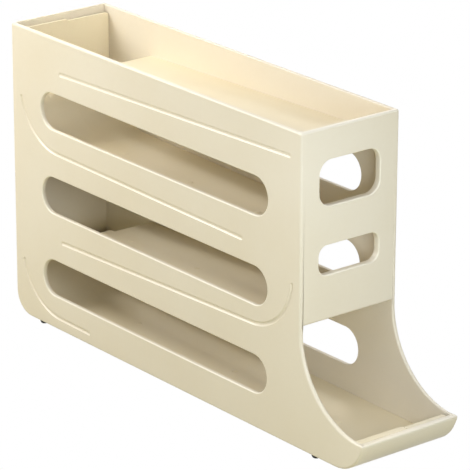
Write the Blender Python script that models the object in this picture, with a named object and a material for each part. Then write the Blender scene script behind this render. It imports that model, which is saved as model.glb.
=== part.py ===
"""Rolling dispenser for a refrigerator shelf: a narrow upright box with four fixed ramps in a zigzag.

Goods go in through the open top, roll to the back, drop, roll to the front, drop, and so on,
until they rest behind the low front lip. The outer box is two side panels, a front panel, a back
panel, a base panel and the lip. Each ramp is two half plates that lap at mid width on rivets.

The frame: +Z is up, the lip faces -Y, and the origin is under the middle of the whole box, on the
surface that the feet stand on. Lengths are in metres. The profile of the box is drawn in (y, z),
where y runs back from the face of the front panel and z runs up from the underside of the shell.
"""
import math

import bmesh
import bpy

# Driving sizes of the box
BODY_WIDTH = 0.078
BODY_DEPTH = 0.301
SHELL_HEIGHT = 0.205
LIP_REACH = 0.060
LIP_HEIGHT = 0.022
FLARE_RADIUS = 0.0575
LIP_CORNER_RADIUS = 0.026
HEEL_RADIUS = 0.016

# Walls and edges
SIDE_SKIN = 0.0024
CROSS_SKIN = 0.0026
BASE_SKIN = 0.0020
RIM_DEPTH = 0.0046
RIM_WIDTH = 0.0024
EDGE_RADIUS = 0.0015
HOLE_EDGE_RADIUS = 0.0012
LIP_EDGE_RADIUS = 0.0010
POCKET_FRONT_MARGIN = 0.0200
FIT_GAP = 0.0003
CUT_OVERRUN = 0.0020
MERGE_DISTANCE = 0.000020

# Side slots: margins from the front face, the back, the underside and the top
SLOT_COUNT = 3
SLOT_HEIGHT = 0.0254
SLOT_FRONT_MARGIN = 0.0315
SLOT_REAR_MARGIN = 0.0325
SLOT_BOTTOM_MARGIN = 0.0237
SLOT_TOP_MARGIN = 0.0383

# Front windows, with the shares of the spare height below the lower one and between the two
WINDOW_WIDTH = 0.048
UPPER_WINDOW_HEIGHT = 0.0295
UPPER_WINDOW_CORNER = 0.0090
LOWER_WINDOW_HEIGHT = 0.0192
LOWER_WINDOW_CORNER = 0.0065
WINDOW_SPACE_SHARES = (0.3892, 0.3338)
FRONT_PANEL_RISE = 0.0010

# Flow lines engraved on the sides, with sloping walls
GROOVE_WIDTH = 0.0030
GROOVE_FLOOR_WIDTH = 0.0013
GROOVE_DEPTH = 0.0008

# Ramps: heights and places are those of the left half's middle surface
RAMP_THICKNESS = 0.0016
RAMP_LAP = 0.0080
RAMP_LAP_EDGE = 0.0010
DROP_RADIUS = 0.042
FRONT_DROP_RADIUS = 0.0405
TOP_RAMP_TOE_RADIUS = 0.0050
TRAY_TOE_RADIUS = 0.0122
TOP_RAMP_SINK = 0.0167
TOP_RAMP_FALL = 0.0066
SECOND_RAMP_FALL = 0.0036
THIRD_RAMP_FALL = 0.0072
BOTTOM_RAMP_FALL = 0.0036
BOTTOM_RAMP_FRONT_HEIGHT = 0.0056
MIDDLE_RAMP_SHARES = (0.6777, 0.3594)
REAR_DROP_OPENING = 0.046
FRONT_DROP_OPENING = 0.0495
TOP_RAMP_EDGE_SINK = 0.0006
SECOND_RAMP_EDGE_SINK = 0.0027
THIRD_RAMP_EDGE_SINK = 0.0040
BOTTOM_RAMP_UPSTAND = 0.0358
REAR_WALL_SPACE = 0.0090
FRONT_WALL_SPACE = 0.0075
FLANGE_REACH = 0.0036
FLANGE_CORNER_RADIUS = 0.0013
TRAY_LEDGE_WIDTH = 0.0127
LEDGE_CORNER_RADIUS = 0.0028
FAR_END_MARGIN = 0.0030

# Rails on the side panels that carry the ramps
RAIL_THICKNESS = 0.0020
RAIL_REACH = 0.0030
SECOND_RAIL_RISE = 0.0299
BOTTOM_RAIL_RISE = 0.0308
BOTTOM_RAIL_LENGTH = 0.0740

# Lap rivets, spaced along the straight floor of each ramp
RIVET_HEAD_RADIUS = 0.0022
RIVET_HEAD_THICKNESS = 0.0006
RIVET_SHANK_RADIUS = 0.0012
RIVET_TAIL_RADIUS = 0.0020
RIVET_TAIL_THICKNESS = 0.0007
RIVET_FLOOR_SHARES = (0.14, 0.50, 0.86)

# Back panel screws and their bosses
LOWER_SCREW_RISE = 0.0340
SCREW_SPACING = 0.0480
SCREW_HEAD_RADIUS = 0.0027
SCREW_HEAD_THICKNESS = 0.0011
SCREW_SHANK_RADIUS = 0.0012
SCREW_LENGTH = 0.0100
SCREW_TIP_SHARE = 0.5
BOSS_LENGTH = 0.0110
BOSS_WALL = 0.0014
BOSS_INSET = 0.0012

# Hooks that lock the cross panels behind the side panels' rims
HOOK_LENGTH = 0.0100
HOOK_THICKNESS = 0.0014
HOOK_REACH = 0.0018
LIP_HOOK_HEIGHT = 0.0040

# Half lap between the base panel and its neighbours
BASE_LAP = 0.0040

# Stiffening bars on the base panel that the bottom ramp rests on
BASE_BAR_COUNT = 5
BASE_BAR_THICKNESS = 0.0020

# Feet
FOOT_DROP = 0.0030
FOOT_RADIUS = 0.0030
FOOT_SOLE_SHARE = 0.5
FOOT_INSET = 0.0050
FRONT_FOOT_Y = -0.0113
REAR_FOOT_MARGIN = 0.0254

# Finishes
CREAM = (0.83, 0.76, 0.58)
RAMP_CREAM = (0.82, 0.74, 0.55)
RUBBER_BLACK = (0.03, 0.03, 0.03)
STEEL_GREY = (0.60, 0.60, 0.60)
SHELL_ROUGHNESS = 0.35
RAMP_ROUGHNESS = 0.40
RUBBER_ROUGHNESS = 0.80
STEEL_ROUGHNESS = 0.35
PLASTIC_METALLIC = 0.0
STEEL_METALLIC = 1.0

# Smoothness of round shapes
ARC_STEPS = 8
LARGE_ARC_STEPS = 16
ROUND_STEPS = 12
DOME_STEPS = 3
EDGE_STEPS = 3

HALF_WIDTH = BODY_WIDTH / 2
INNER_HALF = HALF_WIDTH - RIM_DEPTH - FIT_GAP
LAP_STEP = RAMP_THICKNESS + FIT_GAP
HALF_PLATE = RAMP_THICKNESS / 2

# Places of the windows, from the sill of the front panel up to the top of the shell
FRONT_PANEL_SILL = LIP_HEIGHT + FLARE_RADIUS + FRONT_PANEL_RISE
WINDOW_SPACE = SHELL_HEIGHT - FRONT_PANEL_SILL - LOWER_WINDOW_HEIGHT - UPPER_WINDOW_HEIGHT
LOWER_WINDOW_SILL = FRONT_PANEL_SILL + WINDOW_SPACE * WINDOW_SPACE_SHARES[0]
WINDOW_BAND = WINDOW_SPACE * WINDOW_SPACE_SHARES[1]
UPPER_WINDOW_SILL = LOWER_WINDOW_SILL + LOWER_WINDOW_HEIGHT + WINDOW_BAND

# Heights of the ramps: the top one hangs from the top of the shell, the bottom one stands on
# the base, and the middle two share the height between them
TOP_RAMP_FRONT_HEIGHT = SHELL_HEIGHT - TOP_RAMP_SINK
TOP_RAMP_REAR_HEIGHT = TOP_RAMP_FRONT_HEIGHT - TOP_RAMP_FALL
BOTTOM_RAMP_REAR_HEIGHT = BOTTOM_RAMP_FRONT_HEIGHT + BOTTOM_RAMP_FALL
RAMP_STACK = TOP_RAMP_REAR_HEIGHT - BOTTOM_RAMP_REAR_HEIGHT
SECOND_RAMP_REAR_HEIGHT = BOTTOM_RAMP_REAR_HEIGHT + RAMP_STACK * MIDDLE_RAMP_SHARES[0]
SECOND_RAMP_FRONT_HEIGHT = SECOND_RAMP_REAR_HEIGHT - SECOND_RAMP_FALL
THIRD_RAMP_FRONT_HEIGHT = BOTTOM_RAMP_REAR_HEIGHT + RAMP_STACK * MIDDLE_RAMP_SHARES[1]
THIRD_RAMP_REAR_HEIGHT = THIRD_RAMP_FRONT_HEIGHT - THIRD_RAMP_FALL

# Upper edges of the ramps and of their rails
TOP_RAMP_TOP = SHELL_HEIGHT - TOP_RAMP_EDGE_SINK
SECOND_RAMP_TOP = SHELL_HEIGHT - SECOND_RAMP_EDGE_SINK
THIRD_RAMP_TOP = LOWER_WINDOW_SILL - THIRD_RAMP_EDGE_SINK
BOTTOM_RAMP_TOP = BOTTOM_RAMP_REAR_HEIGHT + BOTTOM_RAMP_UPSTAND
FLANGE_LEVEL = TOP_RAMP_TOP - HALF_PLATE
LEDGE_LEVEL = LIP_HEIGHT - FIT_GAP - HALF_PLATE
SECOND_RAIL_TOP = SECOND_RAMP_REAR_HEIGHT + SECOND_RAIL_RISE
BOTTOM_RAIL_TOP = BOTTOM_RAMP_REAR_HEIGHT + BOTTOM_RAIL_RISE
LOWER_SCREW_HEIGHT = BOTTOM_RAMP_TOP + LOWER_SCREW_RISE
SCREW_HEIGHTS = (LOWER_SCREW_HEIGHT, LOWER_SCREW_HEIGHT + SCREW_SPACING)
RIVET_X = RAMP_LAP_EDGE - RAMP_LAP / 2
LIP_CENTRE_Y = math.sqrt(LIP_CORNER_RADIUS ** 2 - (LIP_CORNER_RADIUS - LIP_HEIGHT) ** 2) - LIP_REACH


def new_material(name, colour, roughness, metallic):
    """Plain finish of one piece."""
    material = bpy.data.materials.new(name)
    material.use_nodes = True
    shader = material.node_tree.nodes["Principled BSDF"]
    shader.inputs["Base Color"].default_value = (*colour, 1.0)
    shader.inputs["Roughness"].default_value = roughness
    shader.inputs["Metallic"].default_value = metallic
    material.diffuse_color = (*colour, 1.0)
    return material


def direction(a, b):
    """Unit vector from one profile point to the next."""
    length = math.hypot(b[0] - a[0], b[1] - a[1])
    return ((b[0] - a[0]) / length, (b[1] - a[1]) / length)


def arc(centre, radius, start, end, steps):
    """Points along a circle, from one angle in degrees to another."""
    points = []
    for i in range(steps + 1):
        angle = math.radians(start + (end - start) * i / steps)
        points.append((centre[0] + radius * math.cos(angle), centre[1] + radius * math.sin(angle)))
    return points


def filleted(corners, radii, steps):
    """Open path through corner points, with an arc of the given radius at each inner one."""
    path = [corners[0]]
    for before, here, after, radius in zip(corners, corners[1:], corners[2:], radii):
        u = direction(here, before)
        v = direction(here, after)
        half = math.acos(max(-1.0, min(1.0, u[0] * v[0] + u[1] * v[1]))) / 2
        wall = min(math.dist(here, before), math.dist(here, after)) - FIT_GAP
        radius = min(radius, wall * math.tan(half))
        reach = radius / math.tan(half)
        middle = direction((0.0, 0.0), (u[0] + v[0], u[1] + v[1]))
        centre = (here[0] + middle[0] * radius / math.sin(half),
                  here[1] + middle[1] * radius / math.sin(half))
        first = (here[0] + u[0] * reach, here[1] + u[1] * reach)
        last = (here[0] + v[0] * reach, here[1] + v[1] * reach)
        start = math.degrees(math.atan2(first[1] - centre[1], first[0] - centre[0]))
        turn = math.degrees(math.atan2(last[1] - centre[1], last[0] - centre[0])) - start
        turn = (turn + 180.0) % 360.0 - 180.0
        path += arc(centre, radius, start, start + turn, steps)
    path.append(corners[-1])
    return path


def offset_open(path, distance):
    """The path moved sideways, to the left of its direction for a positive distance."""
    moved = []
    for i, point in enumerate(path):
        u = direction(path[max(i - 1, 0)], path[max(i, 1)])
        v = direction(path[min(i, len(path) - 2)], path[min(i + 1, len(path) - 1)])
        scale = distance / (1.0 + u[0] * v[0] + u[1] * v[1])
        moved.append((point[0] - (u[1] + v[1]) * scale, point[1] + (u[0] + v[0]) * scale))
    return moved


def inset(outline, distance):
    """A closed outline moved inwards by a distance, whichever way round it runs."""
    area = sum(a[0] * b[1] - b[0] * a[1] for a, b in zip(outline, outline[1:] + outline[:1]))
    side = math.copysign(distance, area)
    moved = []
    count = len(outline)
    for i, point in enumerate(outline):
        u = direction(outline[i - 1], point)
        v = direction(point, outline[(i + 1) % count])
        scale = side / (1.0 + u[0] * v[0] + u[1] * v[1])
        moved.append((point[0] - (u[1] + v[1]) * scale, point[1] + (u[0] + v[0]) * scale))
    return moved


def ribbon(path, thickness, round_ends=False):
    """Closed outline of a strip of even thickness along a path."""
    left = offset_open(path, thickness / 2)
    right = offset_open(path, -thickness / 2)
    outline = list(left)
    if round_ends:
        heading = direction(path[-2], path[-1])
        angle = math.degrees(math.atan2(heading[1], heading[0]))
        outline += arc(path[-1], thickness / 2, angle + 90, angle - 90, ARC_STEPS)[1:-1]
    outline += reversed(right)
    if round_ends:
        heading = direction(path[1], path[0])
        angle = math.degrees(math.atan2(heading[1], heading[0]))
        outline += arc(path[0], thickness / 2, angle + 90, angle - 90, ARC_STEPS)[1:-1]
    return outline


def clipped(path, axis, limit, keep_below):
    """The part of a path on one side of a line across the profile."""
    sign = 1.0 if keep_below else -1.0
    kept = []
    for a, b in zip(path, path[1:]):
        a_in = sign * (a[axis] - limit) <= 0
        b_in = sign * (b[axis] - limit) <= 0
        if a_in and not kept:
            kept.append(a)
        if a_in != b_in:
            t = (limit - a[axis]) / (b[axis] - a[axis])
            crossing = (a[0] + t * (b[0] - a[0]), a[1] + t * (b[1] - a[1]))
            if math.dist(crossing, b) > FIT_GAP / 2 or not b_in:
                kept.append(crossing)
        if b_in:
            kept.append(b)
    return kept


def rounded_box(low, high, radius, steps):
    """Closed outline of a rectangle with round corners."""
    centres = ((high[0] - radius, high[1] - radius, 0), (low[0] + radius, high[1] - radius, 90),
               (low[0] + radius, low[1] + radius, 180), (high[0] - radius, low[1] + radius, 270))
    outline = []
    for y, z, start in centres:
        points = arc((y, z), radius, start, start + 90, steps)
        if outline and math.dist(outline[-1], points[0]) < FIT_GAP / 2:
            points = points[1:]
        outline += points
    if math.dist(outline[-1], outline[0]) < FIT_GAP / 2:
        outline.pop()
    return outline


def ring_solid(name, rings):
    """Closed solid through matching rings of points, capped at both ends."""
    shape = bmesh.new()
    levels = [[shape.verts.new(point) for point in ring] for ring in rings]
    for lower, upper in zip(levels, levels[1:]):
        for i in range(len(lower)):
            j = (i + 1) % len(lower)
            shape.faces.new((lower[i], lower[j], upper[j], upper[i]))
    shape.faces.new(levels[0])
    shape.faces.new(levels[-1])
    bmesh.ops.recalc_face_normals(shape, faces=shape.faces)
    mesh = bpy.data.meshes.new(name)
    shape.to_mesh(mesh)
    shape.free()
    solid = bpy.data.objects.new(name, mesh)
    bpy.context.collection.objects.link(solid)
    return solid


def along_x(outline, x):
    """A profile outline in (y, z) placed at one x."""
    return [(x, y, z) for y, z in outline]


def along_y(outline, y):
    """An outline in (x, z) placed at one y."""
    return [(x, y, z) for x, z in outline]


def side_prism(name, outline, x_low, x_high):
    """Profile outline in (y, z) drawn out along X."""
    return ring_solid(name, [along_x(outline, x_low), along_x(outline, x_high)])


def box(name, low, high):
    """Rectangular block between two corners."""
    outline = [(low[1], low[2]), (high[1], low[2]), (high[1], high[2]), (low[1], high[2])]
    return side_prism(name, outline, low[0], high[0])


def turned(name, centre, axis, profile):
    """Solid of revolution: profile gives (distance along the axis, radius) from end to end."""
    rings = []
    for distance, radius in profile:
        ring = []
        for i in range(ROUND_STEPS):
            angle = math.tau * i / ROUND_STEPS
            a = radius * math.cos(angle)
            b = radius * math.sin(angle)
            if axis == "Y":
                ring.append((centre[0] + a, centre[1] + distance, centre[2] + b))
            else:
                ring.append((centre[0] + a, centre[1] + b, centre[2] + distance))
        rings.append(ring)
    return ring_solid(name, rings)


def joined(target, tools, operation):
    """Apply a Boolean with each tool in turn, and remove the tools."""
    for tool in tools:
        modifier = target.modifiers.new("shape", "BOOLEAN")
        modifier.operation = operation
        modifier.solver = "EXACT"
        modifier.object = tool
        bpy.context.view_layer.update()
        graph = bpy.context.evaluated_depsgraph_get()
        result = bpy.data.meshes.new_from_object(target.evaluated_get(graph))
        target.modifiers.clear()
        shape = bmesh.new()
        shape.from_mesh(result)
        bmesh.ops.remove_doubles(shape, verts=shape.verts, dist=MERGE_DISTANCE)
        bmesh.ops.dissolve_degenerate(shape, edges=shape.edges, dist=MERGE_DISTANCE)
        shape.to_mesh(result)
        shape.free()
        target.data = result
        bpy.data.objects.remove(tool, do_unlink=True)
    return target


def fuse(target, tools):
    return joined(target, tools, "UNION")


def cut(target, tools):
    return joined(target, tools, "DIFFERENCE")


def shell_outline():
    """Side view of the whole box, from the top of the back, round the heel and the lip, and up."""
    heel = arc((BODY_DEPTH - HEEL_RADIUS, HEEL_RADIUS), HEEL_RADIUS, 0, -90, ARC_STEPS)
    rise = math.degrees(math.asin((LIP_CORNER_RADIUS - LIP_HEIGHT) / LIP_CORNER_RADIUS))
    corner = arc((LIP_CENTRE_Y, LIP_CORNER_RADIUS), LIP_CORNER_RADIUS, -90, -180 + rise, ARC_STEPS)
    flare = arc((-FLARE_RADIUS, LIP_HEIGHT + FLARE_RADIUS), FLARE_RADIUS, -90, 0, LARGE_ARC_STEPS)
    return [(BODY_DEPTH, SHELL_HEIGHT)] + heel + corner + flare + [(0.0, SHELL_HEIGHT)]


def slot_outlines():
    """The side slots in the profile, spaced evenly from the lowest to the highest."""
    outlines = []
    highest = SHELL_HEIGHT - SLOT_TOP_MARGIN - SLOT_HEIGHT
    pitch = (highest - SLOT_BOTTOM_MARGIN) / (SLOT_COUNT - 1)
    for i in range(SLOT_COUNT):
        sill = SLOT_BOTTOM_MARGIN + i * pitch
        low = (SLOT_FRONT_MARGIN, sill)
        high = (BODY_DEPTH - SLOT_REAR_MARGIN, sill + SLOT_HEIGHT)
        outlines.append(rounded_box(low, high, SLOT_HEIGHT / 2, ARC_STEPS))
    return outlines


def flared(name, outline, place, outer, inner):
    """Cutter for a hole whose outer edge is eased by two flats; outer and inner are plane places."""
    inward = math.copysign(1.0, inner - outer)
    corner = 1 - math.sqrt(0.5)
    spread = HOLE_EDGE_RADIUS + CUT_OVERRUN * (1 - corner) / corner
    return ring_solid(name, [place(inset(outline, -spread), outer - inward * CUT_OVERRUN),
                             place(inset(outline, -HOLE_EDGE_RADIUS * corner),
                                   outer + inward * HOLE_EDGE_RADIUS * corner),
                             place(outline, outer + inward * HOLE_EDGE_RADIUS),
                             place(outline, inner + inward * CUT_OVERRUN)])


def eased(name, outline, place, outer, inner):
    """Plate of one outline with a round edge at its outer face."""
    inward = math.copysign(1.0, inner - outer)
    rings = []
    for across, down in arc((0.0, 0.0), 1, 0, 90, EDGE_STEPS):
        ring = inset(outline, EDGE_RADIUS * (1 - down))
        rings.append(place(ring, outer + inward * EDGE_RADIUS * (1 - across)))
    return ring_solid(name, rings + [place(outline, inner)])


def ramp_paths(step=0.0):
    """Middle line of each half plate, from its upper edge down to its lower one.

    Each comes with the side that the goods lie on: 1 to the left of the path, -1 to its right.
    A step lowers the floors and moves the upright walls outwards, but leaves the flange of the
    top ramp and the ledge of the tray at their level.
    """
    front = FRONT_WALL_SPACE - step
    rear = BODY_DEPTH - REAR_WALL_SPACE + step
    top_wall = CROSS_SKIN + FLANGE_REACH - step
    drop = BODY_DEPTH - REAR_WALL_SPACE - REAR_DROP_OPENING
    top = filleted([(CROSS_SKIN + FIT_GAP, FLANGE_LEVEL), (top_wall, FLANGE_LEVEL),
                    (top_wall, TOP_RAMP_FRONT_HEIGHT - step), (drop, TOP_RAMP_REAR_HEIGHT - step)],
                   [FLANGE_CORNER_RADIUS, TOP_RAMP_TOE_RADIUS + step], ARC_STEPS)
    second = filleted([(rear, SECOND_RAMP_TOP), (rear, SECOND_RAMP_REAR_HEIGHT - step),
                       (FRONT_WALL_SPACE + FRONT_DROP_OPENING, SECOND_RAMP_FRONT_HEIGHT - step)],
                      [DROP_RADIUS + step], LARGE_ARC_STEPS)
    third = filleted([(front, SECOND_RAMP_FRONT_HEIGHT), (front, THIRD_RAMP_FRONT_HEIGHT - step),
                      (drop, THIRD_RAMP_REAR_HEIGHT - step)],
                     [FRONT_DROP_RADIUS + step], LARGE_ARC_STEPS)
    riser = -LIP_REACH + TRAY_LEDGE_WIDTH - HALF_PLATE - step
    tray_end = -LIP_REACH + RIM_DEPTH + FIT_GAP
    bottom = filleted([(rear, THIRD_RAMP_REAR_HEIGHT), (rear, BOTTOM_RAMP_REAR_HEIGHT - step),
                       (riser, BOTTOM_RAMP_FRONT_HEIGHT - step), (riser, LEDGE_LEVEL),
                       (tray_end, LEDGE_LEVEL)],
                      [DROP_RADIUS + step, TRAY_TOE_RADIUS + step, LEDGE_CORNER_RADIUS], ARC_STEPS)
    return {"top": (top, 1), "second": (second, -1), "third": (third, 1), "bottom": (bottom, -1)}


UPPER_EDGES = {"top": TOP_RAMP_TOP, "second": SECOND_RAMP_TOP,
               "third": THIRD_RAMP_TOP, "bottom": BOTTOM_RAMP_TOP}


def half_path(tier, hand):
    """Middle line of one half plate. The right half lies one lap step below the left one."""
    step = LAP_STEP if hand > 0 else 0.0
    path, _ = ramp_paths(step)[tier]
    if tier == "top":
        return path
    return clipped(path, 1, UPPER_EDGES[tier] - step, True)


def rail_path(tier, hand):
    """The stretch of a half plate's middle line that its rail and its flow line follow."""
    path = half_path(tier, hand)
    if tier == "top":
        return clipped(path, 0, CROSS_SKIN + FLANGE_REACH + TOP_RAMP_TOE_RADIUS, False)
    if tier == "second":
        return clipped(path, 1, SECOND_RAIL_TOP, True)
    if tier == "bottom":
        above = clipped(path, 0, BODY_DEPTH - REAR_WALL_SPACE - BOTTOM_RAIL_LENGTH, False)
        return clipped(above, 1, BOTTOM_RAIL_TOP, True)
    return path


def boss_places(hand):
    """Centres, in (x, z), of the back panel's screws on one side."""
    x = INNER_HALF - SCREW_HEAD_RADIUS - BOSS_INSET
    return [(hand * x, z) for z in SCREW_HEIGHTS]


def hook_spots():
    """Where the cross panels' hooks catch the side panels: (y, z) corners, low and high."""
    half = HOOK_LENGTH / 2
    lowest = THIRD_RAMP_TOP + HOOK_LENGTH
    below_ramp = TOP_RAMP_FRONT_HEIGHT - LAP_STEP - HOOK_LENGTH
    near = RIM_WIDTH + FIT_GAP
    front = [((near, z - half), (near + HOOK_THICKNESS, z + half))
             for z in (lowest, (lowest + below_ramp) / 2, below_ramp)]
    far = BODY_DEPTH - RIM_WIDTH - FIT_GAP
    between_screws = sum(SCREW_HEIGHTS) / len(SCREW_HEIGHTS)
    back = [((far - HOOK_THICKNESS, z - half), (far, z + half))
            for z in (HEEL_RADIUS + HOOK_LENGTH, between_screws, SHELL_HEIGHT - HOOK_LENGTH)]
    under = LIP_HEIGHT - RAMP_THICKNESS - LAP_STEP - 2 * FIT_GAP
    z_low = under - LIP_HOOK_HEIGHT
    reach = LIP_CORNER_RADIUS - SIDE_SKIN - FIT_GAP
    y_low = LIP_CENTRE_Y - math.sqrt(reach ** 2 - (LIP_CORNER_RADIUS - z_low) ** 2)
    y_high = -LIP_REACH + TRAY_LEDGE_WIDTH - RAMP_THICKNESS - LAP_STEP - FIT_GAP
    return {"front": front, "back": back, "lip": [((y_low, z_low), (y_high, under))]}


def hook_blocks(panel, wall_y):
    """A cross panel's hooks, at both of its side edges, each on a pad that reaches to its wall."""
    blocks = []
    for hand in (-1, 1):
        edge = hand * INNER_HALF
        root = edge - hand * 2 * RIM_WIDTH
        middle = edge - hand * RIM_WIDTH
        tip = edge + hand * HOOK_REACH
        for (y_low, z_low), (y_high, z_high) in hook_spots()[panel]:
            blocks.append(box("pad", (min(root, edge), min(wall_y, y_low), z_low),
                              (max(root, edge), max(wall_y, y_high), z_high)))
            blocks.append(box("hook", (min(middle, tip), y_low, z_low),
                              (max(middle, tip), y_high, z_high)))
    return blocks


def side_panel(name, hand):
    """One side: a skin with a deep rim, a collar round each slot, and a rail for each ramp."""
    outer = hand * HALF_WIDTH
    inner = outer - hand * RIM_DEPTH
    skin = outer - hand * SIDE_SKIN
    mid_skin = outer - hand * (HOLE_EDGE_RADIUS + SIDE_SKIN) / 2
    outline = shell_outline()
    panel = eased(name, outline, along_x, outer, inner)
    open_end = inner - hand * CUT_OVERRUN
    hollow = rounded_box((POCKET_FRONT_MARGIN, RIM_WIDTH),
                         (BODY_DEPTH - RIM_WIDTH, TOP_RAMP_REAR_HEIGHT - RIM_DEPTH),
                         HEEL_RADIUS - RIM_WIDTH, ARC_STEPS)
    pocket = side_prism("pocket", hollow, skin, open_end)
    collars = [inset(slot, -RIM_WIDTH) for slot in slot_outlines()]
    beyond = open_end - hand * CUT_OVERRUN
    cut(pocket, [side_prism("collar", collar, outer, beyond) for collar in collars])
    cut(panel, [pocket])
    cut(panel, [flared("slot", slot, along_x, outer, inner) for slot in slot_outlines()])
    additions = []
    for tier in UPPER_EDGES:
        side = ramp_paths()[tier][1]
        drop = HALF_PLATE + FIT_GAP + RAIL_THICKNESS / 2
        line = offset_open(rail_path(tier, hand), -side * drop)
        line = clipped(line, 0, RIM_DEPTH + FIT_GAP + RAIL_THICKNESS / 2, False)
        rail = ribbon(line, RAIL_THICKNESS)
        additions.append(side_prism("rail", rail, mid_skin, inner - hand * RAIL_REACH))
    boss_face = BODY_DEPTH - CROSS_SKIN - FIT_GAP
    boss_root = boss_face - BOSS_LENGTH
    boss_reach = SCREW_SHANK_RADIUS + BOSS_WALL
    for x, z in boss_places(hand):
        nose = x - hand * boss_reach
        low = (min(nose, mid_skin), z - boss_reach)
        high = (max(nose, mid_skin), z + boss_reach)
        boss = rounded_box(low, high, BOSS_WALL, DOME_STEPS)
        additions.append(ring_solid("boss", [along_y(boss, boss_root), along_y(boss, boss_face)]))
    fuse(panel, additions)
    cutters = []
    catch = hand * (INNER_HALF + HOOK_REACH + FIT_GAP)
    for spots in hook_spots().values():
        for (y_low, z_low), (y_high, z_high) in spots:
            cutters.append(box("catch", (min(catch, open_end), y_low - FIT_GAP, z_low - FIT_GAP),
                               (max(catch, open_end), y_high + FIT_GAP, z_high + FIT_GAP)))
    slope = (GROOVE_WIDTH - GROOVE_FLOOR_WIDTH) / GROOVE_DEPTH
    for tier in UPPER_EDGES:
        mouth = ribbon(rail_path(tier, hand), GROOVE_WIDTH + slope * CUT_OVERRUN, round_ends=True)
        floor = ribbon(rail_path(tier, hand), GROOVE_FLOOR_WIDTH, round_ends=True)
        cutters.append(ring_solid("groove", [along_x(mouth, outer + hand * CUT_OVERRUN),
                                             along_x(floor, outer - hand * GROOVE_DEPTH)]))
    pilot = SCREW_SHANK_RADIUS + FIT_GAP
    for x, z in boss_places(hand):
        hole = [(-BOSS_LENGTH + BOSS_WALL, pilot), (CUT_OVERRUN, pilot)]
        cutters.append(turned("pilot", (x, boss_face, z), "Y", hole))
    return cut(panel, cutters)


def window_outlines():
    """The two windows of the front panel, in (x, z)."""
    half = WINDOW_WIDTH / 2
    upper = rounded_box((-half, UPPER_WINDOW_SILL), (half, UPPER_WINDOW_SILL + UPPER_WINDOW_HEIGHT),
                        UPPER_WINDOW_CORNER, ARC_STEPS)
    lower = rounded_box((-half, LOWER_WINDOW_SILL), (half, LOWER_WINDOW_SILL + LOWER_WINDOW_HEIGHT),
                        LOWER_WINDOW_CORNER, ARC_STEPS)
    return [upper, lower]


def front_panel():
    """Upright front wall with two windows, whose rim stops below the top ramp's front."""
    profile = filleted([(RIM_DEPTH, FRONT_PANEL_SILL), (0.0, FRONT_PANEL_SILL),
                        (0.0, SHELL_HEIGHT), (RIM_DEPTH, SHELL_HEIGHT)],
                       [EDGE_RADIUS, EDGE_RADIUS], EDGE_STEPS)
    panel = side_prism("front_panel", profile, -INNER_HALF, INNER_HALF)
    open_end = RIM_DEPTH + CUT_OVERRUN
    narrow = INNER_HALF - RIM_WIDTH
    wide = INNER_HALF + CUT_OVERRUN
    low = FRONT_PANEL_SILL + RIM_WIDTH
    shoulder = TOP_RAMP_FRONT_HEIGHT - HALF_PLATE
    high = SHELL_HEIGHT + CUT_OVERRUN
    hollow = [(-narrow, low), (narrow, low), (narrow, shoulder), (wide, shoulder), (wide, high),
              (-wide, high), (-wide, shoulder), (-narrow, shoulder)]
    pocket = ring_solid("pocket", [along_y(hollow, CROSS_SKIN), along_y(hollow, open_end)])
    collars = [inset(window, -RIM_WIDTH) for window in window_outlines()]
    cut(pocket, [ring_solid("collar", [along_y(collar, 0.0), along_y(collar, open_end + CUT_OVERRUN)])
                 for collar in collars])
    cut(panel, [pocket])
    fuse(panel, hook_blocks("front", CROSS_SKIN / 2))
    return cut(panel, [flared("window", window, along_y, 0.0, RIM_DEPTH) for window in window_outlines()])


def back_panel():
    """Back wall that turns round the heel, with a recess for each screw."""
    heel_centre = (BODY_DEPTH - HEEL_RADIUS, HEEL_RADIUS)
    upper = filleted([(BODY_DEPTH - CROSS_SKIN, SHELL_HEIGHT), (BODY_DEPTH, SHELL_HEIGHT),
                      (BODY_DEPTH, HEEL_RADIUS)], [EDGE_RADIUS], EDGE_STEPS)
    outer = upper[:-1] + arc(heel_centre, HEEL_RADIUS, 0, -90, ARC_STEPS)
    inner = arc(heel_centre, HEEL_RADIUS - CROSS_SKIN, -90, 0, ARC_STEPS)
    lap_z = (BASE_SKIN - FIT_GAP) / 2
    lap_y = BODY_DEPTH - HEEL_RADIUS - BASE_LAP
    outline = outer + [(lap_y, 0.0), (lap_y, lap_z), (lap_y + BASE_LAP, lap_z)] + inner
    panel = side_prism("back_panel", outline, -INNER_HALF, INNER_HALF)
    fuse(panel, hook_blocks("back", BODY_DEPTH - CROSS_SKIN / 2))
    cutters = []
    for hand in (-1, 1):
        for x, z in boss_places(hand):
            recess = SCREW_HEAD_RADIUS + FIT_GAP
            depth = -SCREW_HEAD_THICKNESS - FIT_GAP
            cutters.append(turned("recess", (x, BODY_DEPTH, z), "Y",
                                  [(depth, recess), (CUT_OVERRUN, recess)]))
            clear = SCREW_SHANK_RADIUS + FIT_GAP
            cutters.append(turned("clear", (x, BODY_DEPTH, z), "Y",
                                  [(-RIM_DEPTH, clear), (CUT_OVERRUN, clear)]))
    return cut(panel, cutters)


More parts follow.
